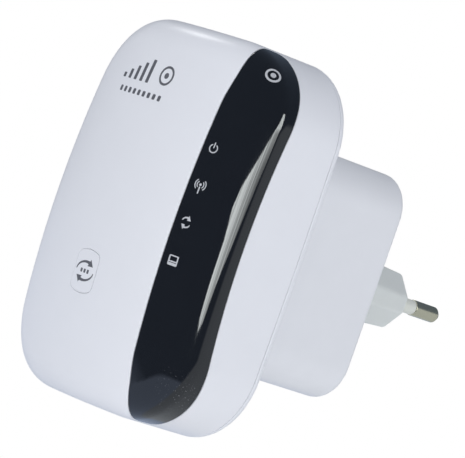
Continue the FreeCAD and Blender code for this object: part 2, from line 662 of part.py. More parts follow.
def rear_cover():
    """Thin rear plate with a rounded rim, a tongue inside the front cover and four stakes."""
    body = new_body("RearPlate")
    outline = front_sketch(body, "Outline", depth=BACK)
    body_outline(outline)
    pad(body, outline, "Plate", "Sizes.rear_plate")
    tongue = front_sketch(body, "Tongue", depth=SPLIT)
    outside = size["wall"] + size["tongue_gap"]
    body_outline(tongue, (outside, "(Sizes.wall + Sizes.tongue_gap)"))
    inside = outside + size["tongue_wall"]
    body_outline(tongue, (inside, "(Sizes.wall + Sizes.tongue_gap + Sizes.tongue_wall)"))
    pad(body, tongue, "TongueRing", "Sizes.tongue_height")
    fillet(body, "Rim", lambda edge: at_depth(edge, back_depth), "Sizes.rim_radius")
    window = rounded_prism("HousingWindow", "Sizes.housing_width", "Sizes.housing_height",
                           "Sizes.housing_corner", f"{BACK} - 1", "Sizes.rear_plate + 2")
    holes = []
    for i, (x, z) in enumerate(boss_places()):
        holes.append(rod(f"CoverHole{i}", x, f"{SPLIT} + 1", z, "Sizes.case_clearance",
                         "Sizes.rear_plate + 2"))
        holes.append(rod(f"CoverSink{i}", x, f"{BACK} + Sizes.counterbore_depth", z,
                         "Sizes.counterbore", "Sizes.counterbore_depth + 1"))
    opened = cut("RearCoverOpened", body, fuse("RearCoverHoles", [window] + holes))
    stakes = [rod(f"Stake{i}", f"{sx} * Sizes.stake_x", f"{SPLIT} + Sizes.flange_wall",
                  f"{sz} * Sizes.stake_z", "Sizes.stake_radius", "Sizes.flange_wall + 0.5")
              for i, (sx, sz) in enumerate(((-1, -1), (-1, 1), (1, -1), (1, 1)))]
    keep(fuse("RearCover", [opened] + stakes), "rear_cover")


def cross_recess(name, x, depth, z, reach):
    """Two crossed blades that cut a screw head's recess."""
    return [block(f"{name}Wide", x, depth, z, f"2 * {reach}", f"{reach} / 2.2", "0.7"),
            block(f"{name}Tall", x, depth, z, f"{reach} / 2.2", f"2 * {reach}", "0.7")]


def screw(name, x, depth, z, thread, head, head_wall, length):
    """Self-tapping screw driven towards the front, its head's seat at the given depth."""
    head_rod = rod(f"{name}Head", x, depth, z, head, head_wall)
    shank = rod(f"{name}Shank", x, f"({depth}) + ({length})", z, thread, length)
    solid = fuse(f"{name}Solid", [head_rod, shank])
    recess = fuse(f"{name}Cross", cross_recess(name, x, f"({depth}) - ({head_wall})", z,
                                               f"({head}) * 0.55"))
    return cut(name, solid, recess)


def case_screws():
    seat = f"{BACK} + Sizes.counterbore_depth"
    length = "Sizes.case_thread_length + Sizes.rear_plate - Sizes.counterbore_depth - 0.5"
    screws = [screw(f"CaseScrew{i}", x, seat, z, "Sizes.case_thread", "Sizes.case_head",
                    "Sizes.case_head_wall", length)
              for i, (x, z) in enumerate(boss_places())]
    keep(group("CaseScrews", screws), "case_screws")


# ---------------------------------------------------------------- power housing and plug

def plug_outline(sketch):
    """Flat-ended hexagon: straight top and bottom, sloping corners, short upright ends."""
    width, height = "Sizes.neck_width / 2", "Sizes.neck_height / 2"
    flat, top = "Sizes.neck_end_flat / 2", "Sizes.neck_top_flat / 2"
    start = (size["neck_width"] / 2, size["neck_height"] / 2,
             size["neck_end_flat"] / 2, size["neck_top_flat"] / 2)
    quarter = (((start[0], start[2]), (width, flat)), ((start[3], start[1]), (top, height)))
    corners = []
    for sx, sz in ((1, 1), (-1, 1), (-1, -1), (1, -1)):
        pair = quarter if sx * sz > 0 else quarter[::-1]
        for (x, z), (formula_x, formula_z) in pair:
            corners.append(((sx * x, sz * z), (f"{sx} * {formula_x}", f"{sz} * {formula_z}")))
    add_polygon(sketch, corners)


def neck_body(name):
    """The plug neck, which widens from the plug face to the housing."""
    body = new_body(name)
    sketch = front_sketch(body, "PlugFace")
    plug_outline(sketch)
    taper = "atan(Sizes.neck_taper / Sizes.neck_length)"
    pad(body, sketch, "Neck", "Sizes.neck_length", taper=taper)
    return body


def pin_axis(item, side):
    """Lean a pin's part inwards about the point where the pin leaves the plug face."""
    bind(item, Placement__Rotation__Angle=f"{side} * Sizes.pin_tilt",
         Placement__Base__x=f"{side} * Sizes.pin_spacing / 2")
    return item


def leaning_rod(name, side, radius, start, length):
    """A rod on a pin's leaning axis, from start behind (or before) the plug face."""
    body = new_body(name)
    sketch = front_sketch(body, "Section", depth=f"-({start}) - ({length})")
    add_circle(sketch, radius)
    pad(body, sketch, "Rod", length)
    body.Placement = Placement(Vector(0, 0, 0), Rotation(Vector(0, 0, 1), 1.0))
    return pin_axis(body, side)


def power_housing():
    """Box behind the rear cover, open to the front, with a staked flange and screw posts."""
    flange = rounded_prism("HousingFlange", "Sizes.housing_width + 2 * Sizes.flange_out",
                           "Sizes.housing_height + 2 * Sizes.flange_out",
                           "Sizes.housing_corner + Sizes.flange_out", SPLIT, "Sizes.flange_wall")
    ears = block("HousingEars", "0", SPLIT, "0", "Sizes.ear_width", "Sizes.ear_height",
                 "Sizes.flange_wall")
    box = rounded_prism("HousingBox", "Sizes.housing_width", "Sizes.housing_height",
                        "Sizes.housing_corner", "Sizes.neck_length",
                        f"{SPLIT} - Sizes.neck_length")
    fillet(box, "Rim", lambda edge: at_depth(edge, size["neck_length"]), "Sizes.housing_rim")
    outside = fuse("HousingOutside", [box, flange, ears])
    hollow = rounded_prism("HousingHollow", "Sizes.housing_width - 2 * Sizes.housing_wall",
                           "Sizes.housing_height - 2 * Sizes.housing_wall",
                           "Sizes.housing_corner - Sizes.housing_wall",
                           "Sizes.neck_length + Sizes.housing_wall",
                           f"{SPLIT} + Sizes.flange_wall + 1 - Sizes.neck_length")
    neck_hole = new_body("HousingNeckHole")
    sketch = front_sketch(neck_hole, "NeckBase", depth="Sizes.neck_length - 1")
    neck_base_outline(sketch)
    pad(neck_hole, sketch, "Hole", "Sizes.housing_wall + 2")
    stake_holes = [rod(f"StakeHole{i}", f"{sx} * Sizes.stake_x", f"{SPLIT} + 4",
                       f"{sz} * Sizes.stake_z", "Sizes.stake_radius", "6")
                   for i, (sx, sz) in enumerate(((-1, -1), (-1, 1), (1, -1), (1, 1)))]
    shell = cut("HousingShell", outside, fuse("HousingVoids", [hollow, neck_hole] + stake_holes))
    floor = "(Sizes.neck_length + Sizes.housing_wall)"
    posts = [rod(f"HousingPost{i}", x, "Sizes.power_board_depth", z, "Sizes.post_radius",
                 f"Sizes.power_board_depth - {floor} + 0.5")
             for i, (x, z) in enumerate(power_post_places())]
    joined = fuse("HousingWithPosts", [shell] + posts)
    bores = [rod(f"HousingBore{i}", x, "Sizes.power_board_depth", z, "Sizes.board_thread",
                 "Sizes.board_thread_length")
             for i, (x, z) in enumerate(power_post_places())]
    bores += [rod(f"InsertBore{i}", "Sizes.insert_screw_x", floor, z, "Sizes.board_thread", "1.4")
              for i, z in enumerate(insert_screw_places())]
    keep(cut("PowerHousing", joined, fuse("HousingBores", bores)), "power_housing")


def neck_base_outline(sketch):
    """The neck's section where it meets the housing."""
    grow = "Sizes.neck_taper"
    width = f"(Sizes.neck_width / 2 + {grow})"
    height = f"(Sizes.neck_height / 2 + {grow})"
    rise, run = "Sizes.neck_height - Sizes.neck_end_flat", "Sizes.neck_width - Sizes.neck_top_flat"
    slope = f"atan(({rise}) / ({run}))"
    flat = f"(Sizes.neck_end_flat / 2 + {grow} * tan(({slope}) / 2))"
    top = f"(Sizes.neck_top_flat / 2 + {grow} * tan((90 deg - {slope}) / 2))"
    quarter = (((18.7, 2.5), (width, flat)), ((13.6, 7.9), (top, height)))
    corners = []
    for sx, sz in ((1, 1), (-1, 1), (-1, -1), (1, -1)):
        pair = quarter if sx * sz > 0 else quarter[::-1]
        for (x, z), (formula_x, formula_z) in pair:
            corners.append(((sx * x, sz * z), (f"{sx} * {formula_x}", f"{sz} * {formula_z}")))
    add_polygon(sketch, corners)


def power_post_places():
    return [("-Sizes.power_post_x", "-Sizes.power_post_z"), ("Sizes.power_post_x",
                                                             "Sizes.power_post_z")]


def insert_screw_places():
    return ["-Sizes.insert_screw_z", "Sizes.insert_screw_z"]


def plug_insert():
    """Plug neck with a flange behind the housing's wall and bores for the two pins."""
    neck = neck_body("PlugNeck")
    fillet(neck, "FaceRim", lambda edge: at_depth(edge, 0.0), "Sizes.neck_rim")
    waist = new_body("PlugWaist")
    sketch = front_sketch(waist, "NeckBase", depth="Sizes.neck_length")
    neck_base_outline(sketch)
    pad(waist, sketch, "Waist", "Sizes.housing_wall")
    floor = "(Sizes.neck_length + Sizes.housing_wall)"
    flange = block("InsertFlange", "0", floor, "0", "Sizes.insert_flange_width",
                   "Sizes.insert_flange_height", "Sizes.insert_flange_wall")
    ears = block("InsertEars", "0", floor, "0", "Sizes.insert_ear_width",
                 "Sizes.insert_ear_height", "Sizes.insert_flange_wall")
    whole = fuse("InsertWhole", [neck, waist, flange, ears])
    bores = [leaning_rod(f"PinBore{i}", side, "Sizes.pin_shank", "-Sizes.pin_tail",
                         "Sizes.pin_tail + 2")
             for i, side in enumerate((-1, 1))]
    bores += [rod(f"InsertClearance{i}", "Sizes.insert_screw_x",
                  f"{floor} + Sizes.insert_flange_wall + 1", z, "Sizes.board_clearance", "4")
              for i, z in enumerate(insert_screw_places())]
    keep(cut("PlugInsert", whole, fuse("InsertBores", bores)), "plug_insert")


def mains_pin(side, word):
    """Round pin: thick tail in the neck, thin core under the sleeve, thick rounded tip."""
    body = new_body(f"Pin{word}")
    sketch = new_sketch(body, "XY_Plane", "Profile")
    tail, core = "-Sizes.pin_tail", "Sizes.pin_core"
    radius, sleeve = "Sizes.pin_radius", "Sizes.sleeve_length"
    length, nose = "Sizes.pin_length", "Sizes.pin_nose"
    shank = "Sizes.pin_shank"
    corners = [((0, -25), ("0", tail)), ((2.4, -25), (shank, tail)), ((2.4, 0), (shank, "0")),
               ((1.5, 0), (core, "0")), ((1.5, 10), (core, sleeve)),
               ((2, 10), (radius, sleeve)), ((2, 18), (radius, f"{length} - {nose}")),
               ((1.2, 19), (f"{radius} * 0.5", length)), ((0, 19), ("0", length))]
    add_polygon(sketch, corners)
    turn = body.newObject("PartDesign::Revolution", "Turned")
    turn.Profile = sketch
    turn.ReferenceAxis = (sketch, ["V_Axis"])
    turn.Angle = 360
    body.Tip = turn
    doc.recompute()
    body.Placement = Placement(Vector(0, 0, 0), Rotation(Vector(0, 0, 1), 1.0))
    keep(pin_axis(body, side), f"pin_{word}")


def pin_sleeve(side, word):
    """Insulating tube over the pin's core."""
    body = new_body(f"Sleeve{word}")
    sketch = front_sketch(body, "Section", depth="-Sizes.sleeve_length")
    add_circle(sketch, "Sizes.sleeve_radius")
    add_circle(sketch, "Sizes.pin_core")
    pad(body, sketch, "Tube", "Sizes.sleeve_length")
    body.Placement = Placement(Vector(0, 0, 0), Rotation(Vector(0, 0, 1), 1.0))
    keep(pin_axis(body, side), f"sleeve_{word}")


def rating_label():
    """Thin blank label on the housing's left-hand side."""
    label = new_body("RatingLabel")
    sketch = new_sketch(label, "YZ_Plane", "Outline", x=f"-({BACK} + Sizes.neck_length) / 2",
                        depth="-Sizes.housing_width / 2 - Sizes.label_wall")
    add_rectangle(sketch, "Sizes.label_width", "Sizes.label_height")
    pad(label, sketch, "Sheet", "Sizes.label_wall")
    fillet(label, "Corners", along_x, "Sizes.label_corner")
    keep(label, "rating_label")


def plug_screws():
    seat = "Sizes.neck_length + Sizes.housing_wall + Sizes.insert_flange_wall"
    screws = [wall_screw(f"PlugScrew{i}", "Sizes.insert_screw_x", seat, z,
                         "Sizes.insert_flange_wall + 1.2")
              for i, z in enumerate(insert_screw_places())]
    keep(group("PlugScrews", screws), "plug_screws")


def wall_screw(name, x, depth, z, length):
    """Small screw driven towards the wall, its head's seat at the given depth."""
    head = rod(f"{name}Head", x, f"({depth}) + Sizes.board_head_wall", z, "Sizes.board_head",
               "Sizes.board_head_wall")
    shank = rod(f"{name}Shank", x, depth, z, "Sizes.board_thread", length)
    solid = fuse(f"{name}Solid", [head, shank])
    recess = fuse(f"{name}Cross", cross_recess(
        name, x, f"({depth}) + Sizes.board_head_wall - 0.5", z, "Sizes.board_head * 0.55"))
    return cut(name, solid, recess)


# ---------------------------------------------------------------- main board

def main_board():
    """Board with a narrower top and bottom that clear the case bosses."""
    wide = block("BoardWide", "0", "Sizes.board_depth", "0", "Sizes.board_width",
                 "Sizes.board_height", "Sizes.board_wall")
    tall = block("BoardTall", "0", "Sizes.board_depth", "0", "Sizes.board_neck_width",
                 "Sizes.board_neck_height", "Sizes.board_wall")
    holes = [rod(f"BoardHole{i}", x, f"{BOARD_FRONT} + 1", z, "Sizes.board_clearance", "5")
             for i, (x, z) in enumerate(POST_PLACES)]
    keep(cut("MainBoard", fuse("BoardSheet", [wide, tall]), fuse("BoardHoles", holes)),
         "main_board")


def board_screws():
    screws = [screw(f"BoardScrew{i}", x, "Sizes.board_depth", z, "Sizes.board_thread",
                    "Sizes.board_head", "Sizes.board_head_wall",
                    "Sizes.board_wall + Sizes.board_thread_length / 2 - 0.3")
              for i, (x, z) in enumerate(POST_PLACES)]
    keep(group("BoardScrews", screws), "board_screws")


def chips(blocks, face):
    """Moulded parts standing on a board's wall-side face, each with bevelled corners."""
    for name, *_ in blocks:
        wall = f"Sizes.{name}_wall"
        case = block(f"{name}_case", f"Sizes.{name}_x", f"{face} - {wall}", f"Sizes.{name}_z",
                     f"Sizes.{name}_width", f"Sizes.{name}_height", wall)
        doc.recompute()
        bevel = doc.addObject("Part::Chamfer", name)
        bevel.Base = case
        bevel.Edges = [(i, 0.25, 0.25) for i, edge in enumerate(case.Shape.Edges, start=1)
                       if along_y(edge)]
        keep(bevel, name)


def cans(groups, face):
    """Round parts standing on a board, on its wall-side face."""
    for name, places, *_ in groups:
        parts = [rod(f"{name}_{i}", f"Sizes.{name}_x_{i}a", face, f"Sizes.{name}_z_{i}a",
                     f"Sizes.{name}_radius", f"Sizes.{name}_height")
                 for i, _ in enumerate(places, start=1)]
        keep(group(name, parts), name)


def chip_heatsink():
    """Finned block on the wifi chip."""
    foot = "Sizes.board_depth - Sizes.wifi_chip_wall - Sizes.sink_base"
    base = block("SinkBase", "Sizes.wifi_chip_x", foot, "Sizes.wifi_chip_z", "Sizes.sink_width",
                 "Sizes.sink_width", "Sizes.sink_base")
    fins = [block(f"SinkFin{i}", f"Sizes.wifi_chip_x + {i} * Sizes.sink_fin_pitch",
                  f"{foot} - Sizes.sink_fin_height", "Sizes.wifi_chip_z", "Sizes.sink_fin",
                  "Sizes.sink_width", "Sizes.sink_fin_height") for i in range(-2, 3)]
    keep(fuse("ChipHeatsink", [base] + fins), "chip_heatsink")


def network_jack():
    """Shielded jack that opens downwards, with a stepped port and eight contacts."""
    rear = "Sizes.board_depth - Sizes.jack_wall"
    top = "Sizes.jack_length - Sizes.jack_bottom"
    middle = f"({top} - Sizes.jack_bottom) / 2"
    skin = block("ShieldSkin", "Sizes.jack_x", rear, middle, "Sizes.jack_width",
                 "Sizes.jack_length", "Sizes.jack_wall")
    sheet_wall = "Sizes.shield_wall"
    hollow = block("ShieldHollow", "Sizes.jack_x", f"{rear} + {sheet_wall}",
                   f"{middle} - {sheet_wall}", f"Sizes.jack_width - 2 * {sheet_wall}",
                   "Sizes.jack_length", f"Sizes.jack_wall - 2 * {sheet_wall}")
    keep(cut("JackShield", skin, hollow), "jack_shield")
    filling = block("InsertBlock", "Sizes.jack_x", f"{rear} + {sheet_wall}",
                    f"{middle} - {sheet_wall} / 2", f"Sizes.jack_width - 2 * {sheet_wall}",
                    f"Sizes.jack_length - {sheet_wall}", f"Sizes.jack_wall - 2 * {sheet_wall}")
    port_depth = f"{rear} + (Sizes.jack_wall - Sizes.port_wall) / 2 + Sizes.port_shift"
    mouth = "Sizes.port_length / 2 - Sizes.jack_bottom"
    port = block("JackPort", "Sizes.jack_x", port_depth, f"{mouth} - 0.5", "Sizes.port_width",
                 "Sizes.port_length + 1", "Sizes.port_wall")
    latch = block("JackLatch", "Sizes.jack_x", f"{port_depth} - Sizes.latch_wall",
                  f"{mouth} - 0.5", "Sizes.latch_width", "Sizes.port_length + 1",
                  "Sizes.latch_wall + 1")
    keep(cut("JackInsert", filling, fuse("JackVoid", [port, latch])), "jack_insert")
    far_wall = f"{port_depth} + Sizes.port_wall - Sizes.contact_width"
    contacts = [block(f"JackContact{i}", f"Sizes.jack_x + ({i} - 3.5) * Sizes.contact_pitch",
                      far_wall, f"{mouth} + Sizes.contact_inset", "Sizes.contact_width",
                      "Sizes.contact_length", "Sizes.contact_width") for i in range(8)]
    keep(group("JackContacts", contacts), "jack_contacts")


def antenna(side, word):
    """Stamped strip that stands on two feet at the top of the board."""
    middle = f"{side} * Sizes.antenna_x"
    strip = block(f"Antenna{word}Strip", middle, f"{BOARD_FRONT} + Sizes.antenna_rise",
                  "Sizes.antenna_z", "Sizes.antenna_width", "Sizes.antenna_height",
                  "Sizes.antenna_wall")
    feet = [block(f"Antenna{word}Foot{i}", f"{middle} + {share} * Sizes.antenna_width",
                  BOARD_FRONT, "Sizes.antenna_z - Sizes.antenna_drop", "Sizes.antenna_foot",
                  "Sizes.antenna_wall", "Sizes.antenna_rise")
            for i, share in enumerate((-0.4, 0.15))]
    keep(fuse(f"Antenna{word}", [strip] + feet), f"antenna_{word}")


# ---------------------------------------------------------------- power board

def power_board():
    board = rounded_prism("PowerBoardSheet", "Sizes.power_board_width",
                          "Sizes.power_board_height", "Sizes.power_board_corner",
                          "Sizes.power_board_depth", "Sizes.board_wall")
    holes = [rod(f"PowerHole{i}", x, "Sizes.power_board_depth + 3", z, "Sizes.board_clearance",
                 "5") for i, (x, z) in enumerate(power_post_places())]
    keep(cut("PowerBoard", board, fuse("PowerHoles", holes)), "power_board")
    seat = "Sizes.power_board_depth + Sizes.board_wall"
    screws = [wall_screw(f"PowerScrew{i}", x, seat, z, "Sizes.board_wall + 4")
              for i, (x, z) in enumerate(power_post_places())]
    keep(group("PowerBoardScrews", screws), "power_board_screws")


def transformer():
    """Flat ferrite frame round a bobbin with a taped winding."""
    x, z = "Sizes.core_x", "Sizes.core_z"
    foot = "(Sizes.power_board_depth - Sizes.core_gap)"
    rear = f"{foot} - Sizes.core_wall"
    yoke = "(Sizes.core_wall - Sizes.core_window_wall) / 2"
    frame = block("CoreFrame", x, rear, z, "Sizes.core_width", "Sizes.core_width",
                  "Sizes.core_wall")
    window = block("CoreWindow", x, f"{rear} + {yoke}", z, "Sizes.core_window_width",
                   "Sizes.core_width + 2", "Sizes.core_window_wall")
    limb = block("CoreLimb", x, rear, z, "Sizes.limb_width", "Sizes.limb_height",
                 "Sizes.core_wall")
    keep(fuse("TransformerCore", [cut("CoreRing", frame, window), limb]), "transformer_core")
    start = f"({foot} - {yoke} - Sizes.bobbin_gap)"
    spool = rod("BobbinSpool", x, start, z, "Sizes.spool_radius", "Sizes.spool_length")
    ends = (start, f"{start} - Sizes.spool_length + Sizes.cheek_wall")
    cheeks = [rod(f"BobbinCheek{i}", x, depth, z, "Sizes.cheek_radius", "Sizes.cheek_wall")
              for i, depth in enumerate(ends)]
    bore = block("BobbinBore", x, rear, z, "Sizes.limb_width + 2 * Sizes.bobbin_gap",
                 "Sizes.limb_height + 2 * Sizes.bobbin_gap", "Sizes.core_wall")
    keep(cut("TransformerBobbin", fuse("BobbinBody", [spool] + cheeks), bore),
         "transformer_bobbin")
    coil_start = f"{start} - (Sizes.spool_length - Sizes.coil_length) / 2"
    coil = rod("WindingOuter", x, coil_start, z, "Sizes.coil_radius", "Sizes.coil_length")
    hollow = rod("WindingInner", x, start, z, "Sizes.spool_radius", "Sizes.spool_length")
    keep(cut("TransformerWinding", coil, hollow), "transformer_winding")


def lying_parts():
    """Fuse resistor and safety capacitor on the power board."""
    keep(upright("FuseResistor", "Sizes.fuse_x", "Sizes.power_board_depth - Sizes.fuse_rise",
                 "Sizes.fuse_z", "Sizes.fuse_radius", "Sizes.fuse_length"), "fuse_resistor")
    keep(block("SafetyDisc", "Sizes.disc_x", "Sizes.power_board_depth - Sizes.disc_wall",
               "Sizes.disc_z", "Sizes.disc_width", "Sizes.disc_height", "Sizes.disc_wall"),
         "safety_capacitor")


def mains_leads():
    """Two short wires from the pins' tails to the power board."""
    wires = []
    for name, side in (("Left", -1), ("Right", 1)):
        lean = "Sizes.pin_tail * sin(Sizes.pin_tilt) - Sizes.lead_gap"
        wires.append(rod(f"Lead{name}", f"{side} * (Sizes.pin_spacing / 2 + {lean})",
                         "Sizes.power_board_depth", "0", "Sizes.mains_lead_radius",
                         "Sizes.power_board_depth - Sizes.pin_tail - Sizes.lead_gap"))
    keep(group("MainsLeads", wires), "mains_leads")


def supply_link():
    """Socket on the main board and the two wires that feed it from the power board."""
    rear = "Sizes.board_depth - Sizes.supply_wall"
    keep(block("SupplyConnector", "Sizes.supply_x", rear, "Sizes.supply_z", "Sizes.supply_width",
               "Sizes.supply_height", "Sizes.supply_wall"), "supply_connector")
    front = "Sizes.power_board_depth + Sizes.board_wall"
    wires = [rod(f"SupplyLead{word}", f"Sizes.supply_x + {side} * Sizes.supply_lead_pitch / 2",
                 rear, "Sizes.supply_z", "Sizes.supply_lead_radius", f"{rear} - ({front})")
             for word, side in (("Left", -1), ("Right", 1))]
    keep(group("SupplyLeads", wires), "supply_leads")


def build():
    outer = crowned_block("OuterForm")
    middle = crowned_block("MiddleForm", "panel_wall")
    inner = crowned_block("InnerForm", "wall", start=f"({SPLIT} - 1)")
    panel = keep(cut("LightPanel", common("PanelBlock", outer, panel_region()), middle),
                 "light_panel")
    front_cover(outer, middle, inner, panel)
    light_guide(middle)
    status_leds()
    pairing_button(outer)
    pairing_switch()
    reset_switch()
    rear_cover()
    case_screws()
    power_housing()
    plug_insert()
    for side, word in ((-1, "left"), (1, "right")):
        mains_pin(side, word)
        pin_sleeve(side, word)
        antenna(side, word)
    rating_label()
    plug_screws()
    main_board()
    board_screws()
    chips(MAIN_BLOCKS, "Sizes.board_depth")
    chips(POWER_BLOCKS, "Sizes.power_board_depth")
    cans(MAIN_CANS, "Sizes.board_depth")
    cans(POWER_CANS, "Sizes.power_board_depth")
    chip_heatsink()
    network_jack()
    power_board()
    transformer()
    lying_parts()
    mains_leads()
    supply_link()
    doc.recompute()


def check_and_write():
    """Refuse a failed object or a broken solid, then write one STEP file per sub-part."""
    failed = [item.Name for item in doc.Objects
              if "Invalid" in item.State or "Error" in item.State]
    broken = [item.Label for item in subparts
              if item.Shape.isNull() or not item.Shape.isValid() or not item.Shape.Solids]
    if failed or broken:
        raise RuntimeError(f"failed objects {failed}, broken sub-parts {broken}")
    os.makedirs("parts", exist_ok=True)
    for item in subparts:
        item.Shape.exportStep(os.path.join("parts", f"{item.Label}.step"))
    print(len(subparts), "sub-parts written")


build()
check_and_write()
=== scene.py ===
import math
import bpy
import numpy as np
from mathutils import Matrix, Vector
from mathutils.geometry import delaunay_2d_cdt


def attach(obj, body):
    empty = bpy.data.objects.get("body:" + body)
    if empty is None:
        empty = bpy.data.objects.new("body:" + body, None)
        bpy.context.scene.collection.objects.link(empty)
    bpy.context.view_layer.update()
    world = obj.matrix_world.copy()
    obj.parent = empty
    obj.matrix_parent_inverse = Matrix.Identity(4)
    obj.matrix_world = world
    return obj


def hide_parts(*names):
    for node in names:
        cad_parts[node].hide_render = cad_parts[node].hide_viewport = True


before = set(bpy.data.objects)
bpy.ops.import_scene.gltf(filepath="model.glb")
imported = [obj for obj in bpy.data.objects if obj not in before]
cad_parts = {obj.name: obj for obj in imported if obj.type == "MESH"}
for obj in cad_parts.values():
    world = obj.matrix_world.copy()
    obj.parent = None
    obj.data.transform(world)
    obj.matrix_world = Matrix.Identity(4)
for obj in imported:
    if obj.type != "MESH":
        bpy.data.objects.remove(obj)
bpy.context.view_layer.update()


# -------- outlines and shells, in millimetres --------

CHUNK = 2000            # points tested at a time, to limit memory
FINE = 0.05             # spacing of a loop while it is smoothed


def circles_meet(a, ra, b, rb):
    """The meeting point of two circles that lies furthest towards +x and +z."""
    gap = b - a
    span = math.hypot(*gap)
    along = (ra ** 2 - rb ** 2 + span ** 2) / (2 * span)
    aside = math.sqrt(ra ** 2 - along ** 2)
    middle = a + along * gap / span
    turned = np.array([-gap[1], gap[0]]) / span
    return max((middle + aside * turned, middle - aside * turned), key=lambda p: p.sum())


class Outline:
    """Rounded rectangle with bowed sides: points and outward normals, anticlockwise."""

    def __init__(self, half_x, half_z, corner, side_bow, end_bow, step=0.1):
        side, end = np.array([half_x - side_bow, 0.0]), np.array([0.0, half_z - end_bow])
        centre = circles_meet(side, side_bow - corner, end, end_bow - corner)
        low = math.atan2(*(centre - side)[::-1])
        high = math.atan2(*(centre - end)[::-1])
        flip = np.array([-1.0, 1.0])
        arcs = [(side, side_bow, -low, low), (centre, corner, low, high),
                (end, end_bow, high, math.pi - high),
                (centre * flip, corner, math.pi - high, math.pi - low)]
        arcs += [(-c, r, a + math.pi, b + math.pi) for c, r, a, b in arcs]
        points, normals = [], []
        for c, r, a, b in arcs:
            angle = np.linspace(a, b, max(4, int(r * (b - a) / step)), endpoint=False)
            n = np.stack([np.cos(angle), np.sin(angle)], 1)
            points.append(c + r * n)
            normals.append(n)
        self.points, self.normals = np.concatenate(points), np.concatenate(normals)


def crown(across, along, apex):
    """Front surface curved both ways, apex at y = apex, facing -y."""
    axis_y = apex + along

    def surface(x, z, inset):
        tube = across - inset
        rise = np.sqrt(tube ** 2 - x ** 2)
        ring = along - across + rise
        lean = np.sqrt(ring ** 2 - z ** 2)
        normal = np.stack([x, -rise * lean / ring, rise * z / ring], 1) / tube
        return axis_y - lean, normal

    return surface


def flat(height, facing):
    """Flat surface at y = height, facing +y or -y."""

    def surface(x, z, inset):
        normal = np.zeros((len(x), 3))
        normal[:, 1] = facing
        return np.full(len(x), height - facing * inset), normal

    return surface


class Shell:
    """A cap, a rolling-ball shoulder and a straight wall, unrolled onto a flat pattern.

    Inside the shoulder's edge the pattern is (x, z). Outside it, the distance from the edge
    is the length along the shoulder and down the wall."""

    def __init__(self, outline, cap, radius, facing):
        self.cap, self.radius, self.facing = cap, radius, facing
        self.outline = outline
        n = outline.normals
        inner = outline.points - radius * n
        height, start = cap(inner[:, 0], inner[:, 1], radius)
        self.side = np.stack([n[:, 0], np.zeros(len(n)), n[:, 1]], 1)
        centre = np.stack([inner[:, 0], height, inner[:, 1]], 1)
        bend = np.arccos((start * self.side).sum(1))
        edge = centre + radius * start
        self.table = np.concatenate(
            [edge[:, [0, 2]], n, centre, start, self.side, bend[:, None]], 1)

    def at(self, place):
        """The shoulder's data at fractional places along the outline."""
        low = np.floor(place).astype(int)
        share = (place - low)[:, None]
        count = len(self.table)
        return self.table[low % count] * (1 - share) + self.table[(low + 1) % count] * share

    def foot(self, flat_points):
        """Nearest place on the shoulder's edge and the distance beyond it."""
        edge = self.table[:, :2]
        place = np.empty(len(flat_points))
        for first in range(0, len(flat_points), CHUNK):
            part = flat_points[first:first + CHUNK]
            gap = ((part[:, None, :] - edge[None, :, :]) ** 2).sum(2)
            place[first:first + CHUNK] = gap.argmin(1)

        def aside(k):
            row = self.at(k)
            off = flat_points - row[:, :2]
            return off[:, 0] * row[:, 3] - off[:, 1] * row[:, 2]

        for _ in range(8):
            here = aside(place)
            slope = aside(place + 0.5) - aside(place - 0.5)
            slope = np.where(np.abs(slope) < 1e-9, 1.0, slope)
            place = place - np.clip(here / slope, -40, 40)
        row = self.at(place)
        beyond = ((flat_points - row[:, :2]) * row[:, 2:4]).sum(1)
        return place, beyond

    def rolled(self, place, beyond, inset=0.0):
        """Points and normals at a distance beyond the shoulder's edge."""
        row = self.at(place)
        centre, start, side, bend = row[:, 4:7], row[:, 7:10], row[:, 10:13], row[:, 13]
        turn = np.clip(beyond / self.radius, 0, bend)[:, None]
        normal = (np.sin(bend[:, None] - turn) * start + np.sin(turn) * side)
        normal /= np.linalg.norm(normal, axis=1)[:, None]
        point = centre + (self.radius - inset) * normal
        point[:, 1] -= self.facing * np.clip(beyond - self.radius * bend, 0, None)
        return point, normal

    def lift(self, flat_points, inset=0.0):
        """Pattern points to points and normals in the part's frame."""
        flat_points = np.asarray(flat_points, float)
        place, beyond = self.foot(flat_points)
        inside = beyond < 0
        point, normal = self.rolled(place, beyond, inset)
        x, z = flat_points[inside].T
        height, up = self.cap(x, z, 0.0)
        point[inside] = np.stack([x, height, z], 1) - inset * up
        normal[inside] = up
        return point, normal

    def wall(self, place, height):
        """Pattern points of places on the straight wall at y = height."""
        row = self.at(place)
        beyond = self.radius * row[:, 13] + (row[:, 5] - height) * self.facing
        return row[:, :2] + row[:, 2:4] * beyond[:, None]

    def end_wall(self, x, height, side):
        """Pattern points on the top (side 1) or bottom (side -1) wall at given x and y."""
        rows = np.flatnonzero(self.outline.normals[:, 1] * side > 0.8)
        order = rows[np.argsort(self.outline.points[rows, 0])]
        place = np.interp(x, self.outline.points[order, 0], order)
        return self.wall(place, height)


# -------- loops on a pattern --------

def resample(loop, step):
    """Even spacing round a closed loop."""
    closed = np.vstack([loop, loop[:1]])
    run = np.concatenate([[0], np.cumsum(np.linalg.norm(np.diff(closed, axis=0), axis=1))])
    count = max(8, int(round(run[-1] / step)))
    at = np.linspace(0, run[-1], count, endpoint=False)
    return np.stack([np.interp(at, run, closed[:, 0]), np.interp(at, run, closed[:, 1])], 1)


def soften(loop, reach, step):
    """Round a loop's corners with a moving average of the given reach."""
    fine = resample(loop, FINE)
    width = max(1, int(reach / FINE))
    for _ in range(3):
        wrapped = np.vstack([fine[-width:], fine, fine[:width]])
        total = np.cumsum(np.vstack([np.zeros((1, 2)), wrapped]), axis=0)
        fine = (total[2 * width + 1:] - total[:-2 * width - 1]) / (2 * width + 1)
    return resample(fine, step)


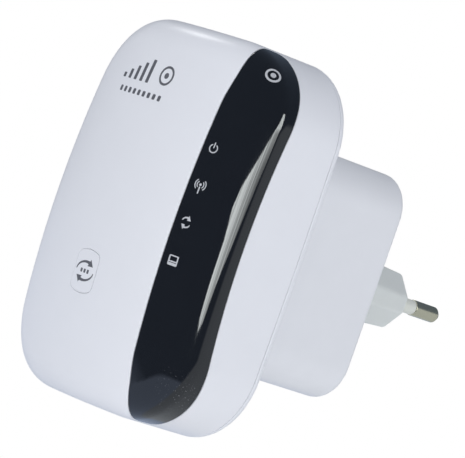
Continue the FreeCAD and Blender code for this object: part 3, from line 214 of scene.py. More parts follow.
def area(loop):
    x, z = loop.T
    return 0.5 * (x * np.roll(z, -1) - z * np.roll(x, -1)).sum()


def inward(loop):
    """Unit directions to the left of travel."""
    along = np.roll(loop, -1, 0) - np.roll(loop, 1, 0)
    along /= np.linalg.norm(along, axis=1)[:, None]
    return np.stack([-along[:, 1], along[:, 0]], 1)


def shifted(loop, distance):
    """A loop moved towards its own inside (distance > 0) or outside."""
    turned = loop if area(loop) > 0 else loop[::-1]
    return turned + inward(turned) * distance


def inside_loops(points, loops):
    """Even-odd test of points against closed loops."""
    odd = np.zeros(len(points), bool)
    for loop in loops:
        ax, az = loop.T
        bx, bz = np.roll(loop, -1, 0).T
        for first in range(0, len(points), CHUNK):
            x, z = points[first:first + CHUNK].T
            over = (az[None] > z[:, None]) != (bz[None] > z[:, None])
            with np.errstate(divide="ignore", invalid="ignore"):
                cross = (bx - ax)[None] * (z[:, None] - az[None]) / (bz - az)[None] + ax[None]
            odd[first:first + CHUNK] ^= ((over & (x[:, None] < cross)).sum(1) % 2).astype(bool)
    return odd


# -------- meshes --------

MM = 0.001


class Mesh:
    """Points, normals and faces gathered for one piece, in millimetres."""

    def __init__(self):
        self.points, self.normals, self.faces, self.corners = [], [], [], []

    def add(self, points, normals):
        """Append points and the normals shown at them; returns the index of the first."""
        first = sum(len(p) for p in self.points)
        self.points.append(np.asarray(points, float))
        self.normals.append(np.asarray(normals, float))
        return first

    def face(self, corners, normals=None):
        self.faces.append(list(corners))
        self.corners.append(list(corners if normals is None else normals))

    def strip(self, low, high, count, closed=True, flip=False):
        """Four-sided faces between two rows of equal length."""
        for i in range(count if closed else count - 1):
            j = (i + 1) % count
            quad = [low + i, low + j, high + j, high + i]
            self.face(quad[::-1] if flip else quad)

    def build(self, name, finish, body, replaced=(), slot=None):
        """Turn the gathered faces into a piece that rides on a body."""
        points = np.concatenate(self.points) * MM
        normals = np.concatenate(self.normals)
        data = bpy.data.meshes.new(name)
        data.from_pydata(points.tolist(), [], self.faces)
        data.polygons.foreach_set("use_smooth", [True] * len(self.faces))
        data.update()
        spread = normals[[k for face in self.corners for k in face]]
        data.normals_split_custom_set(spread.tolist())
        data.materials.append(finish)
        piece = bpy.data.objects.new(name, data)
        bpy.context.scene.collection.objects.link(piece)
        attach(piece, body)
        if replaced:
            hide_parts(*replaced)
        return piece


def grid_inside(loops, step):
    """Points on a honeycomb grid inside the loops and clear of their edges."""
    everything = np.concatenate(loops)
    low, high = everything.min(0), everything.max(0)
    rows = np.arange(low[1], high[1], step * math.sqrt(3) / 2)
    columns = np.arange(low[0], high[0], step)
    x, z = np.meshgrid(columns, rows)
    x = x + (np.arange(len(rows)) % 2)[:, None] * step / 2
    points = np.stack([x.ravel(), z.ravel()], 1)
    points = points[inside_loops(points, loops)]
    clear = np.ones(len(points), bool)
    for first in range(0, len(points), CHUNK):
        part = points[first:first + CHUNK]
        gap = ((part[:, None] - everything[None]) ** 2).sum(2).min(1)
        clear[first:first + CHUNK] = gap > (0.55 * step) ** 2
    return points[clear]


def triangulate(loops, step):
    """Triangles over the region between loops; the loops' own points come first."""
    inner = grid_inside(loops, step)
    points = np.concatenate(list(loops) + [inner])
    edges, first = [], 0
    for loop in loops:
        count = len(loop)
        edges += [(first + i, first + (i + 1) % count) for i in range(count)]
        first += count
    made = delaunay_2d_cdt([Vector(p) for p in points.tolist()], edges, [], 0, 1e-6)
    source = [ids[0] for ids in made[3]]
    faces = np.array([[source[k] for k in tri] for tri in made[2]])
    keep = inside_loops(points[faces].mean(1), loops)
    faces = faces[keep]
    a, b, c = points[faces[:, 0]], points[faces[:, 1]], points[faces[:, 2]]
    turn = (b - a)[:, 0] * (c - a)[:, 1] - (b - a)[:, 1] * (c - a)[:, 0]
    faces[turn < 0] = faces[turn < 0][:, ::-1]
    return points, faces[np.abs(turn) > 1e-9]


def edge_way(shell, loop, way):
    """Unit vector in the surface, pointing out of the material at each point of a loop."""
    reach = 0.02
    ahead, normal = shell.lift(loop + way * reach)
    behind, _ = shell.lift(loop - way * reach)
    out = ahead - behind
    here = shell.lift(loop)[1]
    out -= (out * here).sum(1)[:, None] * here
    return out / np.linalg.norm(out, axis=1)[:, None]


def skin(mesh, shell, outer, holes, wall, edge=0.22, step=0.9, lifted=0.0, steps=4,
         plain_outer=False):
    """A sheet of even thickness on a shell, with rounded outer edges round every loop."""
    loops = [outer if area(outer) > 0 else outer[::-1]]
    loops += [hole[::-1] if area(hole) > 0 else hole for hole in holes]
    ways = [inward(loop) for loop in loops]
    rims = [loop + way * edge for loop, way in zip(loops, ways)]
    if plain_outer:
        rims[0] = loops[0]
    points, faces = triangulate(rims, step)
    flip = shell.facing > 0
    top, normals = shell.lift(points, -lifted)
    first_top = mesh.add(top, normals)
    first_under = mesh.add(top - wall * normals, -normals)
    order = faces[:, ::-1] if flip else faces
    for tri in order.tolist():
        mesh.face([first_top + k for k in tri])
        mesh.face([first_under + k for k in tri[::-1]])
    start = 0
    for loop, way in zip(loops, ways):
        count = len(loop)
        if plain_outer and loop is loops[0]:
            start += count
            continue
        out = edge_way(shell, loop, -way)
        row = first_top + start
        for number in range(1, steps + 1):
            turn = math.pi / 2 * number / steps
            inset = edge * (1 - math.cos(turn)) - lifted
            place = loop + way * edge * (1 - math.sin(turn))
            point, normal = shell.lift(place, inset)
            shown = math.cos(turn) * normal + math.sin(turn) * out
            following = mesh.add(point, shown)
            mesh.strip(row, following, count, flip=not flip)
            row = following
        point, normal = shell.lift(loop, wall - lifted)
        deep = mesh.add(point, out)
        mesh.strip(row, deep, count, flip=not flip)
        under = mesh.add(point, -normal)
        mesh.strip(under, first_under + start, count, flip=not flip)
        start += count


def turned(mesh, profile, place, turn=Matrix.Identity(3), count=96):
    """A solid of revolution about its own y axis. The profile is rows of (radius, y)
    from one end to the other; a repeated row makes a sharp edge."""
    profile = np.asarray(profile, float)
    angle = np.linspace(0, 2 * math.pi, count, endpoint=False)
    turn = np.array(turn)
    runs, run = [], [profile[0]]
    for point in profile[1:]:
        if np.allclose(point, run[-1]):
            runs.append(np.array(run))
            run = [point]
        else:
            run.append(point)
    runs.append(np.array(run))
    for row in runs:
        slope = np.gradient(row, axis=0)
        normal = np.stack([slope[:, 1], -slope[:, 0]], 1)
        normal /= np.linalg.norm(normal, axis=1)[:, None]
        last = None
        for (r, y), (nr, ny) in zip(row, normal):
            local = np.stack([r * np.cos(angle), np.full(count, y), r * np.sin(angle)], 1)
            shown = np.stack([nr * np.cos(angle), np.full(count, ny), nr * np.sin(angle)], 1)
            here = mesh.add(local @ turn.T + place, shown @ turn.T)
            if last is not None:
                mesh.strip(last, here, count, flip=True)
            last = here


def rounded_profile(corners, radii, steps=5):
    """Round the corners of a (radius, y) profile."""
    made = [np.array(corners[0], float)]
    for before, here, after, radius in zip(corners, corners[1:], corners[2:], radii):
        before, here, after = (np.array(p, float) for p in (before, here, after))
        back, ahead = before - here, after - here
        back, ahead = back / np.linalg.norm(back), ahead / np.linalg.norm(ahead)
        half = math.acos(np.clip(back @ ahead, -1, 1)) / 2
        if radius == 0:
            made += [here, here.copy()]
            continue
        reach = radius / math.tan(half)
        middle = here + (back + ahead) / np.linalg.norm(back + ahead) * radius / math.sin(half)
        start, stop = here + back * reach - middle, here + ahead * reach - middle
        for share in np.linspace(0, 1, steps + 1):
            spoke = start * (1 - share) + stop * share
            made.append(middle + spoke / np.linalg.norm(spoke) * radius)
    made.append(np.array(corners[-1], float))
    return made


# -------- flat shapes for prints, in millimetres --------

def ring_points(x, z, radius, count=64):
    angle = np.linspace(0, 2 * math.pi, count, endpoint=False)
    return np.stack([x + radius * np.cos(angle), z + radius * np.sin(angle)], 1)


def arc_band(x, z, radius, width, start, stop, count=28):
    """A curved stroke between two angles in degrees, with round ends."""
    angle = np.radians(np.linspace(start, stop, count))
    outer = np.stack([np.cos(angle), np.sin(angle)], 1) * (radius + width / 2)
    inner = np.stack([np.cos(angle), np.sin(angle)], 1) * (radius - width / 2)
    ends = []
    for edge, base in ((angle[-1], 0.0), (angle[0], math.pi)):
        sweep = np.linspace(0, math.pi, 7)[1:-1] + edge + base
        middle = np.array([math.cos(edge), math.sin(edge)]) * radius
        ends.append(middle + np.stack([np.cos(sweep), np.sin(sweep)], 1) * width / 2)
    return np.concatenate([outer, ends[0], inner[::-1], ends[1]]) + (x, z)


def stroke(x0, z0, x1, z1, width):
    """A straight stroke with round ends."""
    lean = math.atan2(z1 - z0, x1 - x0)
    points = []
    for (x, z), base in (((x1, z1), lean - math.pi / 2), ((x0, z0), lean + math.pi / 2)):
        sweep = base + np.linspace(0, math.pi, 9)
        points.append(np.stack([x + np.cos(sweep) * width / 2,
                                z + np.sin(sweep) * width / 2], 1))
    return np.concatenate(points)


def box_loop(x, z, width, height, corner):
    """A rounded rectangle."""
    points = []
    for sx, sz, base in ((1, -1, -90), (1, 1, 0), (-1, 1, 90), (-1, -1, 180)):
        sweep = np.radians(np.linspace(base, base + 90, 7))
        middle = np.array([x + sx * (width / 2 - corner), z + sz * (height / 2 - corner)])
        points.append(middle + corner * np.stack([np.cos(sweep), np.sin(sweep)], 1))
    return np.concatenate(points)


def arrow_arc(x, z, radius, width, start, stop):
    """A curved stroke that ends in an arrow head."""
    angle = np.radians(np.linspace(start, stop, 20))
    way = math.copysign(1, stop - start)
    circle = np.stack([np.cos(angle), np.sin(angle)], 1)
    taper = np.linspace(0.25, 1.0, 20)[:, None] * width / 2
    outer, inner = circle * (radius + taper), circle * (radius - taper)
    tip_angle = angle[-1] + way * 1.9 * width / radius
    tip = radius * np.array([[math.cos(tip_angle), math.sin(tip_angle)]])
    barb_out = circle[-1:] * (radius + width * 1.25)
    barb_in = circle[-1:] * (radius - width * 1.25)
    return np.concatenate([outer, barb_out, tip, barb_in, inner[::-1]]) + (x, z)


def printed(name, shell, shapes, finish, body, slot, thick=0.03, step=0.5):
    """Ink or clear windows: each shape is an outer loop and its holes, just above the surface."""
    mesh = Mesh()
    for outer, *holes in shapes:
        skin(mesh, shell, outer, holes, thick + 0.03, edge=0.01, step=step, lifted=thick,
             steps=1)
    return mesh.build(name, finish, body, slot=slot)


# -------- finishes --------

RELIEF = 0.00004                        # height of the moulded texture, in metres
DUST_SCALE, DUST_FROM, DUST_FULL = 3400.0, 0.74, 0.80
DUST_COLOUR = (0.45, 0.46, 0.48, 1)
DUST_AREA = (("Z", -0.030, -0.040), ("X", 0.0255, 0.0295))     # low down, by the shoulder


def node(tree, kind, **values):
    """A new node; a value named in_... sets that input, any other sets a property."""
    made = tree.nodes.new(kind)
    for key, value in values.items():
        if key.startswith("in_"):
            made.inputs[key[3:].replace("_", " ")].default_value = value
        else:
            setattr(made, key, value)
    return made


def finish(name, light, dark, rough, grain, bump=0.05, metal=0.0, coat=0.0, clear=0.0,
           soft=0.0, stretch=(1, 1, 1), specks=0.0, coat_rough=0.03):
    """A finish whose colour, gloss and fine relief all vary over the surface.
    grain is the noise scale per metre."""
    made = bpy.data.materials.new(name)
    made.use_nodes = True
    tree = made.node_tree
    shader = tree.nodes["Principled BSDF"]
    place = node(tree, "ShaderNodeTexCoord")
    mapping = node(tree, "ShaderNodeMapping", in_Scale=stretch)
    tree.links.new(place.outputs["Object"], mapping.inputs["Vector"])
    wide = node(tree, "ShaderNodeTexNoise", in_Scale=grain, in_Detail=4.0)
    fine = node(tree, "ShaderNodeTexNoise", in_Scale=grain * 9, in_Detail=3.0)
    slow = node(tree, "ShaderNodeTexNoise", in_Scale=grain / 5, in_Detail=2.0)
    for texture in (wide, fine, slow):
        tree.links.new(mapping.outputs["Vector"], texture.inputs["Vector"])
    blend = node(tree, "ShaderNodeMix", data_type="RGBA")
    blend.inputs["A"].default_value = (*light, 1)
    blend.inputs["B"].default_value = (*dark, 1)
    tree.links.new(wide.outputs["Fac"], blend.inputs["Factor"])
    colour = blend.outputs["Result"]
    if specks:
        dust = node(tree, "ShaderNodeTexNoise", in_Scale=DUST_SCALE, in_Detail=0.0)
        tree.links.new(mapping.outputs["Vector"], dust.inputs["Vector"])
        pick = node(tree, "ShaderNodeMapRange")
        pick.inputs["From Min"].default_value = DUST_FROM
        pick.inputs["From Max"].default_value = DUST_FULL
        pick.inputs["To Max"].default_value = specks
        tree.links.new(dust.outputs["Fac"], pick.inputs["Value"])
        axes = node(tree, "ShaderNodeSeparateXYZ")
        tree.links.new(place.outputs["Object"], axes.inputs["Vector"])
        settled = pick.outputs["Result"]
        for axis, first, last in DUST_AREA:
            limit = node(tree, "ShaderNodeMapRange")
            limit.inputs["From Min"].default_value = first
            limit.inputs["From Max"].default_value = last
            tree.links.new(axes.outputs[axis], limit.inputs["Value"])
            sparse = node(tree, "ShaderNodeMath", operation="MULTIPLY")
            tree.links.new(settled, sparse.inputs[0])
            tree.links.new(limit.outputs["Result"], sparse.inputs[1])
            settled = sparse.outputs["Value"]
        dusty = node(tree, "ShaderNodeMix", data_type="RGBA")
        dusty.inputs["B"].default_value = DUST_COLOUR
        tree.links.new(settled, dusty.inputs["Factor"])
        tree.links.new(colour, dusty.inputs["A"])
        colour = dusty.outputs["Result"]
    tree.links.new(colour, shader.inputs["Base Color"])
    gloss = node(tree, "ShaderNodeMapRange")
    gloss.inputs["To Min"].default_value = rough * 0.8
    gloss.inputs["To Max"].default_value = rough * 1.2
    tree.links.new(slow.outputs["Fac"], gloss.inputs["Value"])
    tree.links.new(gloss.outputs["Result"], shader.inputs["Roughness"])
    relief = node(tree, "ShaderNodeBump", in_Strength=bump, in_Distance=RELIEF)
    tree.links.new(fine.outputs["Fac"], relief.inputs["Height"])
    tree.links.new(relief.outputs["Normal"], shader.inputs["Normal"])
    shader.inputs["Metallic"].default_value = metal
    shader.inputs["Coat Weight"].default_value = coat
    shader.inputs["Coat Roughness"].default_value = coat_rough
    shader.inputs["Transmission Weight"].default_value = clear
    if soft:
        shader.inputs["Subsurface Weight"].default_value = soft
        shader.inputs["Subsurface Scale"].default_value = 0.003
        shader.inputs["Subsurface Radius"].default_value = (1.0, 0.95, 0.9)
    return made


WHITE = finish("white_plastic", (0.80, 0.815, 0.845), (0.775, 0.79, 0.82), 0.31, 120, 0.06)
HOUSING = finish("housing_plastic", (0.76, 0.775, 0.80), (0.73, 0.745, 0.77), 0.38, 150, 0.10)
NECK = finish("plug_plastic", (0.665, 0.695, 0.675), (0.625, 0.655, 0.635), 0.36, 200, 0.08,
              soft=0.25)
SLEEVE = finish("sleeve_plastic", (0.69, 0.71, 0.65), (0.65, 0.67, 0.61), 0.40, 300, 0.08)
BLACK = finish("black_gloss", (0.0062, 0.0072, 0.0102), (0.0045, 0.0052, 0.0075), 0.055, 160,
               0.02, coat=1.0, specks=0.6, coat_rough=0.02)
NICKEL = finish("nickel", (0.90, 0.86, 0.66), (0.80, 0.76, 0.58), 0.24, 900, 0.10, metal=1.0,
                stretch=(1, 0.08, 1))
INK = finish("grey_ink", (0.105, 0.11, 0.125), (0.13, 0.135, 0.15), 0.45, 1500, 0.08)
ICON = finish("icon_white", (0.56, 0.575, 0.60), (0.48, 0.495, 0.52), 0.35, 1500, 0.06)

SLOT_FINISHES = {
    "white_shell": WHITE, "white_housing": HOUSING, "black_panel": BLACK, "plug_plastic": NECK,
    "pin_metal": NICKEL,
    "clear_guide": finish("clear_acrylic", (0.88, 0.90, 0.92), (0.84, 0.86, 0.88), 0.08, 300,
                          0.03, clear=0.9),
    "steel": finish("zinc_steel", (0.56, 0.57, 0.58), (0.44, 0.45, 0.47), 0.30, 700, 0.10,
                    metal=1.0),
    "board_green": finish("green_board", (0.010, 0.085, 0.035), (0.006, 0.055, 0.022), 0.34, 600,
                          0.12, coat=0.4),
    "board_tan": finish("tan_board", (0.42, 0.27, 0.12), (0.34, 0.21, 0.09), 0.55, 900, 0.15),
    "chip_black": finish("moulded_black", (0.022, 0.023, 0.025), (0.014, 0.015, 0.017), 0.55,
                         1400, 0.20),
    "heatsink": finish("anodised_fins", (0.45, 0.46, 0.48), (0.36, 0.37, 0.39), 0.42, 900, 0.12,
                       metal=1.0),
    "contact_gold": finish("contact_gold", (0.82, 0.58, 0.22), (0.70, 0.48, 0.17), 0.20, 1200,
                           0.06, metal=1.0),
    "led_lens": finish("lamp_lens", (0.80, 0.82, 0.70), (0.70, 0.72, 0.58), 0.15, 900, 0.05,
                       clear=0.3),
    "switch_plunger": finish("plunger_black", (0.03, 0.03, 0.032), (0.02, 0.02, 0.022), 0.40,
                             900, 0.12),
    "ferrite": finish("ferrite", (0.055, 0.052, 0.05), (0.035, 0.033, 0.032), 0.62, 1500, 0.25),
    "bobbin": finish("bobbin_nylon", (0.06, 0.055, 0.05), (0.04, 0.036, 0.032), 0.45, 700, 0.12),
    "winding": finish("wound_tape", (0.72, 0.52, 0.10), (0.60, 0.42, 0.07), 0.35, 500, 0.10,
                      coat=0.3),
    "can_sleeve": finish("can_sleeve", (0.025, 0.045, 0.12), (0.016, 0.030, 0.085), 0.30, 700,
                         0.08, coat=0.4),
    "disc_blue": finish("dipped_blue", (0.03, 0.13, 0.42), (0.02, 0.09, 0.32), 0.35, 800, 0.12),
    "resistor_body": finish("resistor_glaze", (0.34, 0.42, 0.46), (0.26, 0.33, 0.37), 0.45, 900,
                            0.12),
    "wire_red": finish("red_insulation", (0.50, 0.035, 0.03), (0.38, 0.025, 0.02), 0.40, 700,
                       0.10),
    "label_grey": finish("label_foil", (0.60, 0.61, 0.62), (0.54, 0.55, 0.56), 0.42, 800, 0.08),
}

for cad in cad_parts.values():
    for place, old in enumerate(cad.data.materials):
        cad.data.materials[place] = SLOT_FINISHES[old.name]


# -------- covers --------

BACK_Y, SPLIT_Y, APEX_Y, FACE_Y = -50.1, -52.3, -83.6, -17.0
SEAM, BUTTON_GAP, HOUSING_GAP, NECK_GAP = 0.035, 0.05, 0.08, 0.08
COVER_WALL, PANEL_WALL, CAP_WALL, REAR_WALL, HOUSING_WALL = 2.2, 1.1, 2.0, 1.9, 2.0
LONG_STEP = 0.9                         # spacing of points along the long parting lines
PANEL_LEFT, PANEL_FLARE, TIP_ROUND = 19.3, 1.15, 5.0
FLARE_FROM, FLARE_RUN = 30.0, 12.0
PANEL_SIDE_Y, PANEL_BOW, BOW_END, BOW_EASE = -69.42, 180.0, 33.0, 11.0
STRAIGHT = 1e5

body_outline = Outline(half_x=32.5, half_z=46.15, corner=18.9, side_bow=1270.0, end_bow=4600.0)
front = Shell(body_outline, crown(across=73.7, along=272.0, apex=APEX_Y), radius=8.2, facing=-1)
rear = Shell(body_outline, flat(BACK_Y, 1), radius=1.9, facing=1)
every = np.arange(len(body_outline.points))


def panel_loop():
    """Pattern outline of the black panel: a long edge on the front, another on the side,
    and a rounded tip at each end."""
    normal = body_outline.normals
    count = len(every)
    first = int(np.argmin(np.abs(normal[:count // 8, 1])))
    high = int(np.argmax(normal[:count // 2, 1]))
    place = np.linspace(first, high, 1200)
    heights = body_outline.points[np.round(place).astype(int), 1]
    past = np.clip(heights - BOW_END, 0, None)
    eased = np.minimum(past, BOW_EASE)
    heights = heights - past + eased - eased ** 2 / (2 * BOW_EASE)
    side = PANEL_SIDE_Y + PANEL_BOW - np.sqrt(PANEL_BOW ** 2 - heights ** 2)
    edge = front.wall(place, side)
    edge = edge[edge[:, 0] > PANEL_LEFT + PANEL_FLARE]
    z = np.linspace(edge[-1, 1], 0, 500)
    share = np.clip((z - FLARE_FROM) / FLARE_RUN, 0, 1)
    left = np.stack([PANEL_LEFT + PANEL_FLARE * share ** 2 * (3 - 2 * share), z], 1)
    corner = edge[-1]
    start = edge[np.linalg.norm(edge - corner, axis=1) > TIP_ROUND]
    stop = left[np.linalg.norm(left - corner, axis=1) > TIP_ROUND]
    t = np.linspace(0, 1, 30)[1:-1, None]
    bend = (1 - t) ** 2 * start[-1] + 2 * t * (1 - t) * corner + t ** 2 * stop[0]
    half = np.concatenate([start, bend, stop])
    mirrored = (half * (1, -1))[::-1]
    return soften(np.concatenate([half, mirrored[1:-1]]), 0.2, 0.5)


panel_edge = panel_loop()
button_at = np.array([-2.7, -17.0])
button_edge = resample(Outline(4.2, 5.15, 1.6, STRAIGHT, 9.0).points + button_at, 0.25)


def slot_loop(x, start, stop, width, corner, side):
    """A rounded slot on the top (1) or bottom (-1) wall, as a pattern loop."""
    shape = box_loop(x, (start + stop) / 2, width, stop - start, corner)
    shape = resample(shape, 0.3)
    return front.end_wall(shape[:, 0], shape[:, 1], side)


vents = [slot_loop(i * 3.0, -66.0, -56.0, 1.4, 0.5, 1) for i in range(-4, 5)]
port = slot_loop(-7.0, -68.9, -54.9, 16.6, 0.5, -1)
pinhole_shape = ring_points(8.0, -66.85, 0.8, 40)
pinhole = front.end_wall(pinhole_shape[:, 0], pinhole_shape[:, 1], -1)

cover = Mesh()
skin(cover, front, resample(front.wall(every, SPLIT_Y - SEAM), LONG_STEP),
     [shifted(panel_edge, -SEAM), shifted(button_edge, -BUTTON_GAP), port, pinhole] + vents,
     COVER_WALL)
cover.build("cover_front", WHITE, "housing", ["front_cover"], "white_shell")

panel = Mesh()
skin(panel, front, shifted(panel_edge, SEAM), [], PANEL_WALL, edge=0.25)
panel.build("panel_black", BLACK, "housing", ["light_panel"], "black_panel")

cap = Mesh()
skin(cap, front, button_edge, [], CAP_WALL, edge=0.12, step=0.6)
cap.build("button_cap", WHITE, "pairing_button", ["pairing_button"], "white_shell")

housing_outline = Outline(24.15, 28.3, 9.8, STRAIGHT, STRAIGHT)
SCREW_RECESS = 2.6
screw_places = [(sx * 22.0, sz * 35.5) for sx in (-1, 1) for sz in (-1, 1)]
back = Mesh()
skin(back, rear, resample(rear.wall(every, SPLIT_Y + SEAM), LONG_STEP),
     [resample(shifted(housing_outline.points, -HOUSING_GAP), 0.8)]
     + [ring_points(x, z, SCREW_RECESS) for x, z in screw_places], REAR_WALL)
back.build("cover_rear", WHITE, "housing", ["rear_cover"], "white_shell")


# -------- power housing and plug --------

class Plate:
    """A flat sheet through a point, with its two directions in the surface."""

    facing = -1

    def __init__(self, origin, across, up):
        self.origin, self.across, self.up = (np.array(v, float) for v in (origin, across, up))
        self.normal = np.cross(self.across, self.up)

    def lift(self, points, inset=0.0):
        points = np.asarray(points, float)
        placed = self.origin + points[:, :1] * self.across + points[:, 1:] * self.up
        return placed - inset * self.normal, np.tile(self.normal, (len(points), 1))


def neck_loop():
    """The plug neck's section at its outer face."""
    quarter = [(17.65, 2.0), (13.05, 6.85)]
    corners = quarter + [(-x, z) for x, z in quarter[::-1]]
    corners += [(-x, -z) for x, z in corners]
    return soften(np.array(corners), 0.3, 0.35)


neck_face = neck_loop()
FOOT_GROWTH = 1.08                      # how much wider the neck is where it meets the housing
TAPER = FOOT_GROWTH / 17.0

box = Shell(housing_outline, flat(FACE_Y, 1), 1.5, 1)
around = np.arange(len(housing_outline.points))
power = Mesh()
skin(power, box, resample(box.wall(around, -52.2), LONG_STEP),
     [shifted(neck_face, -FOOT_GROWTH - NECK_GAP)], HOUSING_WALL)
power.build("power_shell", HOUSING, "housing", ["power_housing"], "white_housing")

PIN_X, LEAN, RIM = 9.3, math.radians(1.66), 1.0
neck = Mesh()
end_plate = Plate((0, 0, 0), (-1, 0, 0), (0, 0, 1))
cap_loop = shifted(neck_face, RIM)
flat_loop = (cap_loop * (-1, 1))[::-1]
holes = [ring_points(side * PIN_X, 0, 1.95) for side in (-1, 1)]
skin(neck, end_plate, flat_loop, holes, 3.0, edge=0.15, step=0.8, plain_outer=True)
way = -inward(neck_face)
count = len(neck_face)
last = None
rows = [(-RIM + RIM * math.sin(a), -RIM + RIM * math.cos(a), math.sin(a), math.cos(a))
        for a in np.linspace(0, math.pi / 2 - TAPER, 9)]
rows += [(-TAPER * y, y, 1.0, TAPER) for y in np.linspace(-RIM, -19.0, 12)]
for grow, y, side_share, end_share in rows:
    ring = neck_face + way * grow
    point = np.stack([ring[:, 0], np.full(count, y), ring[:, 1]], 1)
    shown = np.stack([way[:, 0] * side_share, np.full(count, end_share),
                      way[:, 1] * side_share], 1)
    here = neck.add(point, shown)
    if last is not None:
        neck.strip(last, here, count)
    last = here
neck.build("plug_neck", NECK, "housing", ["plug_insert"], "plug_plastic")

for side, word in ((-1, "left"), (1, "right")):
    spin = Matrix.Rotation(side * LEAN, 3, "Z")
    foot = np.array([side * PIN_X, 0, 0])
    pin = Mesh()
    turned(pin, rounded_profile(
        [(0, -25), (2.35, -25), (2.35, -0.4), (1.5, -0.4), (1.5, 10.05), (2.0, 10.05),
         (2.0, 17.9), (1.15, 19.0), (0, 19.0)], (0, 0, 0, 0, 0.12, 0.5, 0.35)), foot, spin)
    pin.build(f"pin_{word}_metal", NICKEL, "housing", [f"pin_{word}"], "pin_metal")
    tube = Mesh()
    turned(tube, rounded_profile(
        [(1.55, -0.3), (1.83, -0.3), (1.83, 10.0), (1.55, 10.0)], (0, 0.12)), foot, spin)
    tube.build(f"pin_{word}_sleeve", SLEEVE, "housing", [f"sleeve_{word}"], "plug_plastic")


# -------- prints --------

def moved(loops, x, z, size=1.0):
    return [loop * size + (x, z) for loop in loops]


power_icon = [[arc_band(0, 0, 1.1, 0.3, 125, 415, 60)], [stroke(0, 0.2, 0, 1.5, 0.32)]]
antenna_icon = [[ring_points(0, 0.35, 0.36, 24)], [stroke(0, -0.35, 0, -1.9, 0.36)]]
antenna_icon += [[arc_band(0, 0.35, r, 0.26, base - 48, base + 48, 24)]
                 for r in (0.95, 1.55) for base in (0, 180)]
link_icon = [[arrow_arc(0, side * 0.35, 1.05, 0.6, turn, turn - 100) * (1.15, 0.9)]
             for side, turn in ((1, 178), (-1, -2))]
computer_icon = [[box_loop(0, 0, 2.8, 2.7, 0.3), box_loop(0, 0.45, 2.05, 1.15, 0.15),
                  box_loop(0, -0.55, 2.3, 0.16, 0.05)]]
for name, shapes, x, z in (("icon_power", power_icon, 22.26, 19.57),
                           ("icon_antenna", antenna_icon, 22.6, 10.42),
                           ("icon_link", link_icon, 22.47, 1.46),
                           ("icon_computer", computer_icon, 22.46, -7.74)):
    printed(name, front, [moved(loops, x, z, 0.9) for loops in shapes], ICON, "housing",
            "led_lens")

ring_mark = [[ring_points(0, 0, 2.0), ring_points(0, 0, 1.45)], [ring_points(0, 0, 0.7, 40)]]
printed("panel_ring_mark", front, [moved(loops, 28.0, 40.9) for loops in ring_mark], ICON,
        "housing", "led_lens")

bars = [[box_loop(-8.5 + 2.4 * i, -1.9 + 0.55 * i, 1.1, 1.1 + 1.1 * i, 0.2)] for i in range(5)]
bars += [[ring_points(7.0, 0.3, 2.3), ring_points(7.0, 0.3, 1.75)], [ring_points(7.0, 0.3, 0.7)]]
dots = [[box_loop(-7.5 + 1.9 * i, -5.0, 1.0, 1.3, 0.3)] for i in range(9)]
printed("front_mark", front, [moved(loops, -6.9, 31.9, 1.06) for loops in bars + dots], INK,
        "housing", "label_grey")

button_mark = [[arrow_arc(0, 0, 2.3, 0.75, turn, turn - 105)] for turn in (178, -2)]
button_mark += [[box_loop(x, 0, 0.5, 1.0, 0.15)] for x in (-0.85, 0, 0.85)]
printed("button_mark", front, [moved(loops, *button_at, (1.45, 0.95)) for loops in button_mark],
        INK, "pairing_button", "label_grey")

label = Plate((-24.26, -33.55, 0), (0, -1, 0), (0, 0, 1))
lines = [[box_loop((length - 16) / 2, 11.0 - 2.6 * row, length, 1.0, 0.3)]
         for row, length in enumerate((16, 12, 14, 9, 13))]
lines += [[ring_points(-5.5 + 5.5 * i, -6.5, 2.0), ring_points(-5.5 + 5.5 * i, -6.5, 1.5)]
          for i in range(3)]
printed("label_print", label, lines, INK, "housing", "label_grey")


# -------- stage, lights and camera --------

EYE = (math.radians(48.6), math.radians(-0.09), math.radians(19.301))
TARGET = np.array([2.471, -48.383, 3.637]) * MM
DISTANCE, LENS = 0.92544, 300.42
REACH, FILL_DISTANCE = 1.15, 1.3        # the reflector's and the fill lamps', in metres
ROOM = (0.078, 0.100, 0.135, 1)         # what glossy surfaces mirror between the two planes


def direction(azimuth, elevation):
    """Unit vector towards an azimuth (0 in front, 90 to the right) and elevation, radians."""
    return np.array([math.sin(azimuth) * math.cos(elevation),
                     -math.cos(azimuth) * math.cos(elevation), math.sin(elevation)])


def link(thing):
    bpy.context.scene.collection.objects.link(thing)
    return thing


def lamp(name, azimuth, elevation, distance, size, power, mirrored=False):
    """A square soft light that faces the object; only a mirrored one shows in gloss."""
    data = bpy.data.lights.new(name, "AREA")
    data.shape, data.size, data.size_y = "RECTANGLE", size, size
    data.energy = power
    thing = link(bpy.data.objects.new(name, data))
    thing.visible_glossy = mirrored
    away = Vector(direction(math.radians(azimuth), math.radians(elevation)))
    thing.rotation_mode = "QUATERNION"
    thing.rotation_quaternion = away.to_track_quat("Z", "Y")
    thing.location = away * distance + Vector(TARGET)


